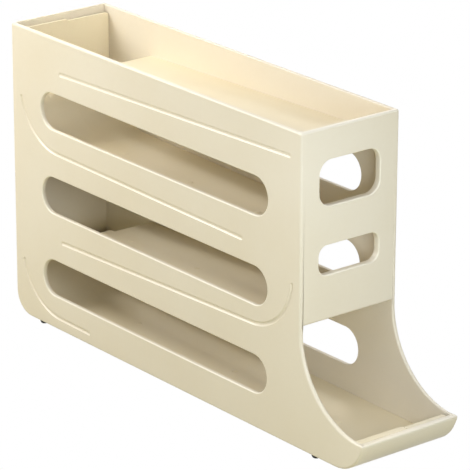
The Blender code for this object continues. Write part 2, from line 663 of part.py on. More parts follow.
def front_lip():
    """Low flared wall of the tray: a curved front with a rim along its top."""
    centre = (LIP_CENTRE_Y, LIP_CORNER_RADIUS)
    rise = math.degrees(math.asin((LIP_CORNER_RADIUS - LIP_HEIGHT) / LIP_CORNER_RADIUS))
    outer = arc(centre, LIP_CORNER_RADIUS, -90, -180 + rise, ARC_STEPS)
    rim_z = LIP_HEIGHT - RIM_WIDTH
    thin = LIP_CORNER_RADIUS - SIDE_SKIN
    inner_rise = math.degrees(math.asin((LIP_CORNER_RADIUS - rim_z) / thin))
    inner = arc(centre, thin, -180 + inner_rise, -90, ARC_STEPS)
    lap_z = (BASE_SKIN - FIT_GAP) / 2
    rim_y = -LIP_REACH + RIM_DEPTH
    edge = filleted([outer[-2], outer[-1], (rim_y, LIP_HEIGHT)], [LIP_EDGE_RADIUS], EDGE_STEPS)
    outline = [(centre[0] + BASE_LAP, 0.0)] + outer[:-1] + edge[1:] + [(rim_y, rim_z)] + inner
    outline += [(centre[0], lap_z), (centre[0] + BASE_LAP, lap_z)]
    lip = side_prism("front_lip", outline, -INNER_HALF, INNER_HALF)
    (y_low, _), _ = hook_spots()["lip"][0]
    return fuse(lip, hook_blocks("lip", y_low - SIDE_SKIN))


def base_panel():
    """Flat bottom with half laps at both ends and bars for the bottom ramp."""
    front = LIP_CENTRE_Y + FIT_GAP
    rear = BODY_DEPTH - HEEL_RADIUS - FIT_GAP
    lap_z = (BASE_SKIN + FIT_GAP) / 2
    step = BASE_LAP
    outline = [(front + step, 0.0), (rear - step, 0.0), (rear - step, lap_z), (rear, lap_z),
               (rear, BASE_SKIN), (front, BASE_SKIN), (front, lap_z), (front + step, lap_z)]
    panel = side_prism("base_panel", outline, -INNER_HALF, INNER_HALF)
    additions = []
    for i in range(BASE_BAR_COUNT):
        y = front + (rear - front) * (i + 1) / (BASE_BAR_COUNT + 1)
        slope = (BOTTOM_RAMP_REAR_HEIGHT - BOTTOM_RAMP_FRONT_HEIGHT) / (BODY_DEPTH + LIP_REACH)
        under = BOTTOM_RAMP_FRONT_HEIGHT + slope * (y + LIP_REACH) - HALF_PLATE - FIT_GAP
        split = RAMP_LAP_EDGE - RAMP_LAP - FIT_GAP
        edge = INNER_HALF - RAIL_REACH - FIT_GAP
        for low_x, high_x, top in ((-edge, split, under), (split, edge, under - LAP_STEP)):
            additions.append(box("bar", (low_x, y, BASE_SKIN / 2),
                                 (high_x, y + BASE_BAR_THICKNESS, top)))
    return fuse(panel, additions)


def foot_places():
    """Centre of each foot in (x, y)."""
    x = HALF_WIDTH - FOOT_INSET
    rear = BODY_DEPTH - REAR_FOOT_MARGIN
    return {"front_left_foot": (-x, FRONT_FOOT_Y), "front_right_foot": (x, FRONT_FOOT_Y),
            "rear_left_foot": (-x, rear), "rear_right_foot": (x, rear)}


def foot(name, place):
    """Soft domed pad that sticks under the seam of the base panel and a side panel."""
    sole = FOOT_RADIUS * FOOT_SOLE_SHARE
    dome = arc((0.0, 0.0), 1, -90, 0, DOME_STEPS)
    profile = [(-FIT_GAP + (FOOT_DROP - FIT_GAP) * rise, sole + (FOOT_RADIUS - sole) * out)
               for out, rise in dome]
    return turned(name, (place[0], place[1], 0.0), "Z", profile)


def rivet_places(tier):
    """Points on the left half's middle line, along the ramp's straight floor, for its rivets."""
    path, _ = ramp_paths()[tier]
    floor = max(zip(path, path[1:]), key=lambda pair: math.dist(*pair))
    return [tuple(a + (b - a) * share for a, b in zip(*floor)) for share in RIVET_FLOOR_SHARES]


def rivet_profile():
    """Rivet's outline from its tail, below the lap, to its head, sunk in the upper plate."""
    seat = HALF_PLATE - RIVET_HEAD_THICKNESS
    under = -HALF_PLATE - LAP_STEP - FIT_GAP
    return [(under - RIVET_TAIL_THICKNESS, RIVET_TAIL_RADIUS), (under, RIVET_TAIL_RADIUS),
            (under, RIVET_SHANK_RADIUS), (seat, RIVET_SHANK_RADIUS),
            (seat, RIVET_HEAD_RADIUS), (HALF_PLATE, RIVET_HEAD_RADIUS)]


def ledge_ends(tier):
    """Cutters that stop the right half's flange or ledge beside the left one's, and at its far end."""
    if tier == "top":
        level = FLANGE_LEVEL - FLANGE_CORNER_RADIUS
        low = CROSS_SKIN
        high = CROSS_SKIN + FLANGE_REACH - LAP_STEP + HALF_PLATE + FIT_GAP
    elif tier == "bottom":
        level = LEDGE_LEVEL - LEDGE_CORNER_RADIUS
        low = -LIP_REACH + RIM_DEPTH
        high = -LIP_REACH + TRAY_LEDGE_WIDTH - LAP_STEP + FIT_GAP
    else:
        return []
    spans = ((RAMP_LAP_EDGE - RAMP_LAP - CUT_OVERRUN, RAMP_LAP_EDGE + FIT_GAP),
             (INNER_HALF - FAR_END_MARGIN, INNER_HALF + CUT_OVERRUN))
    return [box("end", (x_low, low, level), (x_high, high, level + LEDGE_CORNER_RADIUS + RAMP_THICKNESS))
            for x_low, x_high in spans]


def ramp_half(tier, hand):
    """One half plate of a ramp, drilled for the lap rivets."""
    side_name = "left" if hand < 0 else "right"
    outline = ribbon(half_path(tier, hand), RAMP_THICKNESS)
    if hand < 0:
        x_low, x_high = -INNER_HALF, RAMP_LAP_EDGE
    else:
        x_low, x_high = RAMP_LAP_EDGE - RAMP_LAP, INNER_HALF
    plate = side_prism(f"{tier}_ramp_{side_name}", outline, x_low, x_high)
    holes = ledge_ends(tier) if hand > 0 else []
    bore = RIVET_SHANK_RADIUS + FIT_GAP
    reach = RAMP_THICKNESS + LAP_STEP + CUT_OVERRUN
    recess = RIVET_HEAD_RADIUS + FIT_GAP
    seat = HALF_PLATE - RIVET_HEAD_THICKNESS - FIT_GAP
    for y, z in rivet_places(tier):
        holes.append(turned("hole", (RIVET_X, y, z), "Z", [(-reach, bore), (reach, bore)]))
        if hand < 0:
            holes.append(turned("seat", (RIVET_X, y, z), "Z", [(seat, recess), (CUT_OVERRUN, recess)]))
    return cut(plate, holes)


def lap_rivets():
    """The rivets of the four ramps, numbered from the upper end of each ramp."""
    pieces = []
    for tier in UPPER_EDGES:
        for number, (y, z) in enumerate(rivet_places(tier), 1):
            name = f"{tier}_ramp_rivet_{number}"
            pieces.append(turned(name, (RIVET_X, y, z), "Z", rivet_profile()))
    return pieces


def panel_screws():
    """The four screws that hold the back panel."""
    head = -SCREW_HEAD_THICKNESS
    tip = SCREW_SHANK_RADIUS * SCREW_TIP_SHARE
    profile = [(-SCREW_LENGTH, tip), (tip - SCREW_LENGTH, SCREW_SHANK_RADIUS),
               (head, SCREW_SHANK_RADIUS), (head, SCREW_HEAD_RADIUS), (0.0, SCREW_HEAD_RADIUS)]
    places = boss_places(-1) + boss_places(1)
    return [turned(f"back_panel_screw_{number}", (x, BODY_DEPTH, z), "Y", profile)
            for number, (x, z) in enumerate(places, 1)]


def main():
    for item in list(bpy.data.objects):
        bpy.data.objects.remove(item, do_unlink=True)
    shells = [side_panel("left_side_panel", -1), side_panel("right_side_panel", 1),
              front_panel(), back_panel(), base_panel(), front_lip()]
    ramps = [ramp_half(tier, hand) for tier in UPPER_EDGES for hand in (-1, 1)]
    feet = [foot(name, place) for name, place in foot_places().items()]
    frame = bpy.data.objects.new("dispenser_frame", None)
    frame.location = (0.0, -(BODY_DEPTH - LIP_REACH) / 2, FOOT_DROP)
    bpy.context.collection.objects.link(frame)
    families = (("cream_plastic", CREAM, SHELL_ROUGHNESS, PLASTIC_METALLIC, shells),
                ("ramp_plastic", RAMP_CREAM, RAMP_ROUGHNESS, PLASTIC_METALLIC, ramps + lap_rivets()),
                ("dark_rubber", RUBBER_BLACK, RUBBER_ROUGHNESS, PLASTIC_METALLIC, feet),
                ("screw_steel", STEEL_GREY, STEEL_ROUGHNESS, STEEL_METALLIC, panel_screws()))
    for name, colour, roughness, metallic, pieces in families:
        for piece in pieces:
            piece.data.materials.clear()
            piece.data.materials.append(new_material(name, colour, roughness, metallic))
            piece.parent = frame


main()
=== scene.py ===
"""Finish of a rolling dispenser for a refrigerator shelf, with a white studio round it.

The dispenser is a narrow upright box with four fixed ramps in a zigzag. Its moulded panels get
soft edges, eased slots and windows and engraved flow lines, each ramp is two thin plates that lap
at mid width, and small rivets, screws and feet finish it. The profile of the box is drawn in
(y, z), with y back from the face of the front panel and z up from the underside of the shell.
Lengths are in metres, +Z is up and the low tray faces -Y.
"""
import math

import bmesh
import bpy
from bpy.props import FloatProperty, FloatVectorProperty, PointerProperty
from mathutils import Matrix, Vector


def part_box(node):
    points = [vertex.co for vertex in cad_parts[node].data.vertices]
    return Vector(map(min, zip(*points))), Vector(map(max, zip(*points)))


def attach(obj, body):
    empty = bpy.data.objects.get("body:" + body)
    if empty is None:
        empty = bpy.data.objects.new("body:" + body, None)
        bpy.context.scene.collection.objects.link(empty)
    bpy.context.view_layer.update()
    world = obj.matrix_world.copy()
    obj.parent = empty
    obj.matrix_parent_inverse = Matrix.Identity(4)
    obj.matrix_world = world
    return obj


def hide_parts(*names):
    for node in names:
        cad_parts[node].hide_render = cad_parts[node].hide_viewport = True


bl_info = {
    "name": "Rolling Dispenser Finish",
    "version": (1, 0, 0),
    "blender": (4, 5, 0),
    "location": "3D View > Sidebar > Dispenser",
    "description": "Moulded panels, lapped ramps, fittings and a white studio",
    "category": "Object",
}

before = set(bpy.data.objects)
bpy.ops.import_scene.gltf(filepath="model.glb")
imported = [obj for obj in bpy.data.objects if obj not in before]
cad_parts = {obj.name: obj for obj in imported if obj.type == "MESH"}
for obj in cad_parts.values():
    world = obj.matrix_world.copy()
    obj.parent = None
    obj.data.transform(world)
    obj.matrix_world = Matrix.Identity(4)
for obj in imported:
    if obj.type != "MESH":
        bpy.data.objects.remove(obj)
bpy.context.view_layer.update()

# Sizes read from the fixed frame
SIDE_LOW, SIDE_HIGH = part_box("left_side_panel")
HALF_WIDTH = -SIDE_LOW.x
UNDERSIDE = SIDE_LOW.z
SHELL_HEIGHT = SIDE_HIGH.z - SIDE_LOW.z
INNER_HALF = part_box("front_panel")[1].x
FRONT_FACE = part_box("front_panel")[0].y
BODY_DEPTH = SIDE_HIGH.y - FRONT_FACE
LIP_REACH = FRONT_FACE - SIDE_LOW.y
FRONT_PANEL_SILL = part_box("front_panel")[0].z - UNDERSIDE
LIP_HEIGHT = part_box("front_lip")[1].z - UNDERSIDE

# Profile of the box
FLARE_RADIUS = 0.0575
LIP_CORNER_RADIUS = 0.026
HEEL_RADIUS = 0.016
RIM_DEPTH = 0.0046
RIM_WIDTH = 0.0024
CROSS_SKIN = 0.0026
BASE_SKIN = 0.0020
BASE_LAP = 0.0040
FIT_GAP = 0.0003
MEETING_X = INNER_HALF + FIT_GAP / 2
LAP_LEVEL = (BASE_SKIN - FIT_GAP) / 2
ROUND_TAPER = 0.0020    # over which an inner round fades beside another panel
BACK_INSIDE = BODY_DEPTH - CROSS_SKIN
LIP_INSIDE = RIM_DEPTH - LIP_REACH
SIDES = ((-1, "left"), (1, "right"))

# Slots and windows: (low corner, high corner, corner radius)
SLOT_BOXES = [((0.0315, sill), (0.2685, sill + 0.0254), 0.0127) for sill in (0.0237, 0.0825, 0.1413)]
WINDOW_BOXES = [((-0.024, 0.1545), (0.024, 0.1840), 0.0090),
                ((-0.024, 0.1100), (0.024, 0.1292), 0.0065)]

# Ramps, as in the source of the solids
PLATE = 0.0016
LAP_STEP = PLATE + FIT_GAP
LAP_LOW = -0.0070
LAP_HIGH = 0.0010
END_ROUND = 0.0016
RAIL_THICKNESS = 0.0020
RAIL_REACH = 0.0030
FRONT_WALL_SPACE = 0.0075
FLANGE_WALL = 0.0062
FLANGE_LEVEL = 0.2036
FLANGE_ROUND = 0.0013
TOP_TOE = 0.0050
FAR_END_MARGIN = 0.0030
REAR_WALL_SPACE = 0.0090
# Each floor's middle line at its front and at its rear
RAMP_HEIGHTS = {"top": (0.1883, 0.1817), "second": (0.122537, 0.126137),
                "third": (0.071230, 0.064030), "bottom": (0.0056, 0.0092)}
UPPER_EDGES = {"second": 0.2023, "third": 0.10600, "bottom": 0.0450}
SECOND_RAIL_TOP = 0.156037
BOTTOM_RAIL_TOP = 0.0400
BOTTOM_RAIL_FRONT = 0.2180
REAR_DROP_OPENING = 0.046
FRONT_DROP_OPENING = 0.0495
DROP_RADIUS = 0.042
FRONT_DROP_RADIUS = 0.0405
TRAY_LEDGE_WIDTH = 0.0127
TRAY_TOE = 0.0122
LEDGE_LEVEL = LIP_HEIGHT - FIT_GAP - PLATE / 2
LEDGE_ROUND = 0.0028
SMALL_CORNER = 0.0004
RAIL_EDGE = 0.0003
TRIM_HEIGHT = 0.0100

# Bosses and recesses for the screws of the back panel
BOSS_LENGTH = 0.0110
BOSS_REACH = 0.0026
BOSS_CORNER = 0.0014
RECESS_RADIUS = 0.0030
RECESS_DEPTH = 0.0014
RECESS_BEVEL = 0.0001
SCREW_HOLE_RADIUS = 0.0015

# Rivets, screws and pads: a profile is (distance along the axis, radius), a dome (share, radius)
RIVET_SHARES = (0.14, 0.50, 0.86)
RIVET_X = -0.0030
RIVET_SHANK = 0.0012
RIVET_HEAD = 0.0022
RIVET_TAIL = ((-0.0007, 0.0), (-0.0006, 0.0012), (-0.0003, 0.0019), (0.0, 0.0020))
RIVET_DOME = ((0.55, 0.0018), (0.9, 0.0010), (1.0, 0.0))
SCREW_PROFILE = ((-0.0100, 0.0006), (-0.0094, 0.0012), (-0.0011, 0.0012), (-0.0011, 0.0026),
                 (-0.0010, 0.0027), (-0.0003, 0.0027), (-0.0001, 0.00255), (0.0, 0.0022))
CROSS_WING = 0.00034
CROSS_FLOOR = (0.00055, 0.00016)    # reach and wing of the cross recess at its floor
CROSS_DEPTH = 0.0010
PAD_RADIUS = 0.0030
PAD_TOP = ((-FIT_GAP / 3, 0.0028), (0.0, 0.0026), (0.0, 0.0))

# Edges, shading and the painted highlight on edges
FINE_ROUND = 0.0006
TIP_SHARE = 0.9    # round of a side panel at the tip of the lip, as a share of the lip's
TIP_BLEND = (0.0080, 0.0020)    # distances from that tip between which the round changes
GROOVE_SOFTNESS = 0.0001
PAINTED_EDGE_HIGHLIGHT = 0.7    # painted highlight on the top edges, down to a share of their round
PAINTED_HIGHLIGHT_REACH = 0.9
HOLE_PAINTED_HIGHLIGHT = (0.0, 0.9, 1.0, 1.0, 0.5)    # painted highlight on each ring of a hole's outer round
CORNER_GAP = 0.0001
MERGE_DISTANCE = 1e-7
BEVEL_ANGLE = 40
CREASE_ANGLE = 35
CLOUD_DEEPER = (0.965, 0.950, 0.915)
CLOUD_LIGHTER = (1.012, 1.018, 1.035)
# How far the painted highlight lifts the panels' colour towards white, in each channel
PAINTED_HIGHLIGHT_LIFT = (0.60, 0.45, 0.28)

# Steps on an arc
EDGE_STEPS = 4
ARC_STEPS = 12
LARGE_ARC_STEPS = 28
ROUND_STEPS = 24


# Profiles

def direction(a, b):
    """Unit vector from one profile point to the next."""
    length = math.hypot(b[0] - a[0], b[1] - a[1])
    return ((b[0] - a[0]) / length, (b[1] - a[1]) / length)


def bearing(a, b):
    """Angle in degrees of the way from one profile point to another."""
    return math.degrees(math.atan2(b[1] - a[1], b[0] - a[0]))


def moved(point, way, distance):
    """A point moved along a direction."""
    return (point[0] + way[0] * distance, point[1] + way[1] * distance)


def between(a, b, share):
    """The point part of the way from one point to another."""
    return tuple(p + (q - p) * share for p, q in zip(a, b))


def arc(centre, radius, start, end, steps=ARC_STEPS):
    """Points along a circle, from one angle in degrees to another."""
    points = []
    for i in range(steps + 1):
        angle = math.radians(start + (end - start) * i / steps)
        points.append((centre[0] + radius * math.cos(angle), centre[1] + radius * math.sin(angle)))
    return points


def circle(centre, radius):
    """Closed outline of a circle, or its centre alone where it has no radius."""
    return arc(centre, radius, 0, 360, ROUND_STEPS)[:-1] if radius else [centre]


def filleted(corners, radii, steps=EDGE_STEPS):
    """Open path through corner points, with an arc of the given radius at each inner one."""
    path = [corners[0]]
    for before, here, after, radius in zip(corners, corners[1:], corners[2:], radii):
        u = direction(here, before)
        v = direction(here, after)
        half = math.acos(max(-1.0, min(1.0, u[0] * v[0] + u[1] * v[1]))) / 2
        wall = min(math.dist(here, before), math.dist(here, after)) - FIT_GAP
        radius = min(radius, wall * math.tan(half))
        reach = radius / math.tan(half)
        middle = direction((0.0, 0.0), moved(u, v, 1.0))
        centre = moved(here, middle, radius / math.sin(half))
        start = bearing(centre, moved(here, u, reach))
        turn = bearing(centre, moved(here, v, reach)) - start
        turn = (turn + 180.0) % 360.0 - 180.0
        path += arc(centre, radius, start, start + turn, steps)
    path.append(corners[-1])
    return path


def mitred(point, u, v, distance):
    """A corner point moved to the left of the directions before and after it."""
    scale = distance / (1.0 + u[0] * v[0] + u[1] * v[1])
    return (point[0] - (u[1] + v[1]) * scale, point[1] + (u[0] + v[0]) * scale)


def offset_open(path, distance):
    """The path moved sideways, to the left of its direction for a positive distance."""
    ways = [direction(a, b) for a, b in zip(path, path[1:])]
    return [mitred(point, before, after, distance)
            for point, before, after in zip(path, ways[:1] + ways, ways + ways[-1:])]


def inset(outline, distances):
    """A closed outline moved inwards, by one distance or by one for each point."""
    if not isinstance(distances, list):
        distances = [distances] * len(outline)
    following = outline[1:] + outline[:1]
    area = sum(a[0] * b[1] - b[0] * a[1] for a, b in zip(outline, following))
    ways = [direction(a, b) for a, b in zip(outline, following)]
    return [mitred(point, before, after, math.copysign(distance, area * distance))
            for point, before, after, distance in zip(outline, ways[-1:] + ways, ways, distances)]


def ribbon(path, width):
    """Closed outline of a strip of even width along a path, with round ends."""
    outline = []
    for line in (path, path[::-1]):
        angle = bearing(line[-2], line[-1])
        outline += offset_open(line, width / 2)
        outline += arc(line[-1], width / 2, angle + 90, angle - 90)[1:-1]
    return outline


def clipped(path, axis, limit, keep_below):
    """The part of a path on one side of a line across the profile."""
    sign = 1.0 if keep_below else -1.0
    kept = []
    for a, b in zip(path, path[1:]):
        a_in = sign * (a[axis] - limit) <= 0
        b_in = sign * (b[axis] - limit) <= 0
        if a_in and not kept:
            kept.append(a)
        if a_in != b_in:
            crossing = between(a, b, (limit - a[axis]) / (b[axis] - a[axis]))
            if math.dist(crossing, b) > FIT_GAP / 2 or not b_in:
                kept.append(crossing)
        if b_in:
            kept.append(b)
    return kept


def rounded_box(low, high, radius, steps=ARC_STEPS):
    """Closed outline of a rectangle with round corners."""
    centres = ((high[0] - radius, high[1] - radius, 0), (low[0] + radius, high[1] - radius, 90),
               (low[0] + radius, low[1] + radius, 180), (high[0] - radius, low[1] + radius, 270))
    outline = []
    for y, z, start in centres:
        points = arc((y, z), radius, start, start + 90, steps)
        if outline and math.dist(outline[-1], points[0]) < FIT_GAP / 2:
            points = points[1:]
        outline += points
    if math.dist(outline[-1], outline[0]) < FIT_GAP / 2:
        outline.pop()
    return outline


def eased(value, low, high):
    """0 at low, 1 at high and smooth between, in either direction."""
    t = max(0.0, min(1.0, (value - low) / (high - low)))
    return t * t * (3.0 - 2.0 * t)


def lip_centre():
    """Centre of the lip's lower corner in the profile."""
    drop = LIP_CORNER_RADIUS - LIP_HEIGHT
    return (math.sqrt(LIP_CORNER_RADIUS ** 2 - drop ** 2) - LIP_REACH, LIP_CORNER_RADIUS)


def lip_corner(radius, tip_z):
    """The curved front of the lip, from its underside up to one height."""
    rise = math.degrees(math.asin((LIP_CORNER_RADIUS - tip_z) / radius))
    return arc(lip_centre(), radius, -90, -180 + rise)


def side_outline(settings):
    """Side view of the whole box, from the top of the back, round the heel and the lip, and up."""
    edge = settings.edge_radius
    taper = edge + ROUND_TAPER
    back = filleted([(BACK_INSIDE, SHELL_HEIGHT), (BODY_DEPTH, SHELL_HEIGHT),
                     (BODY_DEPTH, HEEL_RADIUS)], [edge])
    heel = arc((BODY_DEPTH - HEEL_RADIUS, HEEL_RADIUS), HEEL_RADIUS, 0, -90)
    corner = lip_corner(LIP_CORNER_RADIUS, LIP_HEIGHT)
    flare = arc((-FLARE_RADIUS, LIP_HEIGHT + FLARE_RADIUS), FLARE_RADIUS, -90, 0, LARGE_ARC_STEPS)
    tip = filleted([corner[-2], corner[-1], flare[0]], [settings.lip_radius])
    front = filleted([flare[-1], (0.0, SHELL_HEIGHT), (CROSS_SKIN, SHELL_HEIGHT)], [edge])
    top = [(y, SHELL_HEIGHT) for y in (CROSS_SKIN + taper / 2, CROSS_SKIN + taper,
                                       BACK_INSIDE - taper, BACK_INSIDE - taper / 2)]
    return back[:-1] + heel + corner[:-1] + tip[1:-1] + flare + front[1:] + top


def inner_rounds(outline, settings):
    """Round of the side's inner edge at each outline point: none where another panel meets it."""
    rounds = []
    taper = settings.edge_radius + ROUND_TAPER
    for y, z in outline:
        if z > SHELL_HEIGHT - settings.edge_radius / 2:
            share = min(eased(y, CROSS_SKIN, CROSS_SKIN + taper),
                        eased(y, BACK_INSIDE, BACK_INSIDE - taper))
        elif y < 0 and z > LIP_HEIGHT - FIT_GAP:
            share = min(eased(z, FRONT_PANEL_SILL - RIM_DEPTH / 4, FRONT_PANEL_SILL - 2 * RIM_DEPTH),
                        eased(y, LIP_INSIDE, LIP_INSIDE + RIM_DEPTH))
        else:
            share = 0.0
        rounds.append(settings.inner_radius * share)
    return rounds


def ramp_path(tier, step=0.0):
    """Middle line of a half plate, from its upper edge down, and the side that carries.

    A step lowers the floor and moves the upright walls outwards. The flange of the top ramp and
    the ledge of the tray stay at their level.
    """
    front = FRONT_WALL_SPACE - step
    rear = BODY_DEPTH - REAR_WALL_SPACE + step
    drop = BODY_DEPTH - REAR_WALL_SPACE - REAR_DROP_OPENING
    fore, aft = (height - step for height in RAMP_HEIGHTS[tier])
    if tier == "top":
        wall = FLANGE_WALL - step
        corners = [(CROSS_SKIN + FIT_GAP, FLANGE_LEVEL), (wall, FLANGE_LEVEL), (wall, fore),
                   (drop, aft)]
        return filleted(corners, [FLANGE_ROUND, TOP_TOE + step], ARC_STEPS), 1
    if tier == "second":
        corners = [(rear, UPPER_EDGES[tier]), (rear, aft),
                   (FRONT_WALL_SPACE + FRONT_DROP_OPENING, fore)]
        return filleted(corners, [DROP_RADIUS + step], LARGE_ARC_STEPS), -1
    if tier == "third":
        corners = [(front, RAMP_HEIGHTS["second"][0]), (front, fore), (drop, aft)]
        return filleted(corners, [FRONT_DROP_RADIUS + step], LARGE_ARC_STEPS), 1
    riser = TRAY_LEDGE_WIDTH - LIP_REACH - PLATE / 2 - step
    corners = [(rear, RAMP_HEIGHTS["third"][1]), (rear, aft), (riser, fore), (riser, LEDGE_LEVEL),
               (LIP_INSIDE + FIT_GAP, LEDGE_LEVEL)]
    return filleted(corners, [DROP_RADIUS + step, TRAY_TOE + step, LEDGE_ROUND], ARC_STEPS), -1


def half_path(tier, hand):
    """Middle line of one half plate. The right half lies one lap step below the left one."""
    step = LAP_STEP if hand > 0 else 0.0
    path = ramp_path(tier, step)[0]
    return clipped(path, 1, UPPER_EDGES[tier] - step, True) if tier in UPPER_EDGES else path


def plate_ends(tier, hand):
    """Plan outlines, in (x, y), of what is cut off a flange or ledge, and the height from which."""
    if tier == "top":
        level = FLANGE_LEVEL - FLANGE_ROUND
        front = CROSS_SKIN
        rear = FLANGE_WALL + PLATE / 2
    elif tier == "bottom":
        level = LEDGE_LEVEL - LEDGE_ROUND
        front = LIP_INSIDE
        rear = TRAY_LEDGE_WIDTH - LIP_REACH
    else:
        return [], 0.0
    if hand > 0:
        rear -= LAP_STEP
    reach = LAP_HIGH - LAP_LOW + PLATE
    beyond = rear + FIT_GAP
    outlines = []
    x = LAP_HIGH if hand < 0 else INNER_HALF - FAR_END_MARGIN
    nose = [(x - END_ROUND + a, rear - END_ROUND + b)
            for a, b in arc((0.0, 0.0), END_ROUND, 0, 90, EDGE_STEPS + 2)]
    outlines.append([(x + reach, front), (x, front)] + nose
                    + [(x - END_ROUND, beyond), (x + reach, beyond)])
    if hand > 0:
        x = LAP_HIGH + FIT_GAP
        outlines.append([(x - reach, front), (x, front), (x, beyond), (x - reach, beyond)])
    return outlines, level


def rail_path(tier, hand):
    """The stretch of a half plate's middle line that its rail and its flow line follow."""
    path = half_path(tier, hand)
    if tier == "top":
        return clipped(path, 0, FLANGE_WALL + TOP_TOE, False)
    if tier == "second":
        return clipped(path, 1, SECOND_RAIL_TOP, True)
    if tier == "bottom":
        return clipped(clipped(path, 0, BOTTOM_RAIL_FRONT, False), 1, BOTTOM_RAIL_TOP, True)
    return path


def rivet_places(tier):
    """Points along the straight floor of a ramp, for its rivets."""
    path, _ = ramp_path(tier)
    floor = max(zip(path, path[1:]), key=lambda pair: math.dist(*pair))
    return [between(*floor, share) for share in RIVET_SHARES]


def dense_ends(path, corner):
    """A path with extra points near both ends, so that its corners can be round.

    They keep clear of the next bend, or the thickened plate would fold over there.
    """
    shares = (0.06, 0.2, 0.4, 0.7, 1.0)
    fresh = list(path)
    for _ in range(2):
        fresh.reverse()
        length = math.dist(fresh[0], fresh[1])
        fresh[1:1] = [between(fresh[0], fresh[1], corner * share / length) for share in shares
                      if corner * share < length - CORNER_GAP]
    return fresh


def in_place(x, y, z):
    """A point of the profile in the frame of the whole part."""
    return (x, y + FRONT_FACE, z + UNDERSIDE)


def about_zero(x, y, z):
    """A point of a fitting, which is made about zero and copied to its places."""
    return (x, y, z)


# Meshes

class Moulding:
    """Closed mesh in the making: rings of points that are bridged, filled and capped."""

    def __init__(self, place=in_place):
        self.shape = bmesh.new()
        # The rim layer marks where the colour is paled as a painted highlight
        self.rim = self.shape.verts.layers.float.new("rim")
        self.place = place

    def ring(self, points, rim=0.0):
        """New points. Rim is 1 where an eased edge gets a painted highlight and looks paler."""
        verts = [self.shape.verts.new(self.place(*point)) for point in points]
        for vert in verts:
            vert[self.rim] = rim
        return verts

    def side_ring(self, outline, x, rim=0.0):
        return self.ring([(x, y, z) for y, z in outline], rim)

    def front_ring(self, outline, y, rim=0.0):
        return self.ring([(x, y, z) for x, z in outline], rim)

    def plan_ring(self, outline, z):
        return self.ring([(x, y, z) for x, y in outline])

    def bridge(self, *rings, leave=()):
        """Walls from ring to ring, except on the sides to leave open. A tip is a ring of one point."""
        for low, high in zip(rings, rings[1:]):
            count = max(len(low), len(high))
            for i in range(count):
                j = (i + 1) % count
                if (i, j) not in leave:
                    corners = (low[i % len(low)], low[j % len(low)],
                               high[j % len(high)], high[i % len(high)])
                    self.shape.faces.new(list(dict.fromkeys(corners)))

    def fill(self, *loops):
        """Flat face with holes: the first loop is its edge and each of the others is a hole."""
        edges = []
        for loop in loops:
            for a, b in zip(loop, loop[1:] + loop[:1]):
                edges.append(self.shape.edges.get((a, b)) or self.shape.edges.new((a, b)))
        bmesh.ops.triangle_fill(self.shape, use_beauty=True, edges=edges)

    def cap(self, *rings):
        for ring in rings:
            self.shape.faces.new(ring)

    def bar(self, rings, leave=()):
        """Walls from ring to ring with both ends capped."""
        self.bridge(*rings, leave=leave)
        self.cap(rings[0], rings[-1])

    def hole(self, rings, outer, inner):
        """Wall of a hole, whose end rings join the loops of the two faces that it opens."""
        self.bridge(*rings)
        outer.append(rings[0])
        inner.append(rings[-1])

    def prism(self, outline, windows=(), painted_highlight_from=1.0):
        """Profile drawn out from side panel to side panel, with a painted highlight on its edges above
        a height in it.

        Each window is (number of the profile point before it, loops).
        """
        low = self.side_ring(outline, -MEETING_X)
        high = self.side_ring(outline, MEETING_X)
        for a, b, (y, z) in zip(low, high, outline):
            # Painted highlight: the rim value pales the edges above that height
            a[self.rim] = b[self.rim] = PAINTED_EDGE_HIGHLIGHT if z > painted_highlight_from else 0.0
        sides = [(i, (i + 1) % len(low)) for i, _ in windows]
        self.bar((low, high), sides)
        for (i, j), (_, loops) in zip(sides, windows):
            self.fill([low[i], low[j], high[j], high[i]], *loops)

    def turned(self, profile):
        """Solid of revolution about Z, from tip to tip of its profile."""
        self.bridge(*[self.plan_ring(circle((0.0, 0.0), radius), z) for z, radius in profile])

    def finish(self, name, material):
        """Merge the doubles, turn the faces outwards and make the object."""
        bmesh.ops.remove_doubles(self.shape, verts=self.shape.verts, dist=MERGE_DISTANCE)
        bmesh.ops.recalc_face_normals(self.shape, faces=self.shape.faces)
        mesh = bpy.data.meshes.new(name)
        self.shape.to_mesh(mesh)
        self.shape.free()
        mesh.materials.append(material)
        return settled(linked(name, mesh))


def linked(name, data):
    """New object in the scene."""
    piece = bpy.data.objects.new(name, data)
    bpy.context.scene.collection.objects.link(piece)
    return piece


def settled(piece, edge=None):
    """Turn a piece with its modifiers into a plain mesh with clean shading."""
    if edge:
        bevel = piece.modifiers.new("soft edges", "BEVEL")
        bevel.width = edge
        bevel.segments = 2
        bevel.limit_method = "ANGLE"
        bevel.angle_limit = math.radians(BEVEL_ANGLE)
    baked(piece)
    piece.data.shade_smooth()
    piece.data.set_sharp_from_angle(angle=math.radians(CREASE_ANGLE))
    normals = piece.modifiers.new("even shading", "WEIGHTED_NORMAL")
    normals.keep_sharp = True
    return baked(piece)


def baked(piece):
    """Apply what the modifiers make."""
    bpy.context.view_layer.update()
    graph = bpy.context.evaluated_depsgraph_get()
    mesh = bpy.data.meshes.new_from_object(piece.evaluated_get(graph), preserve_all_data_layers=True,
                                           depsgraph=graph)
    old = piece.data
    piece.modifiers.clear()
    piece.data = mesh
    name = old.name
    bpy.data.meshes.remove(old)
    mesh.name = name
    return piece


def trimmed(piece, outlines, level):
    """Cut plan outlines out of a piece, from a height up."""
    for outline in outlines:
        moulding = Moulding()
        moulding.bar([moulding.plan_ring(outline, z) for z in (level, level + TRIM_HEIGHT)])
        cutter = moulding.finish("cutter", piece.data.materials[0])
        cut = piece.modifiers.new("trim", "BOOLEAN")
        cut.operation = "DIFFERENCE"
        cut.object = cutter
        baked(piece)
        bpy.data.objects.remove(cutter, do_unlink=True)
    return piece


def fitted(piece, slot, *nodes):
    """Let a finished piece ride on the dispenser and stand for its solids."""
    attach(piece, "root")
    if nodes:
        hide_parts(*nodes)


# Node graphs

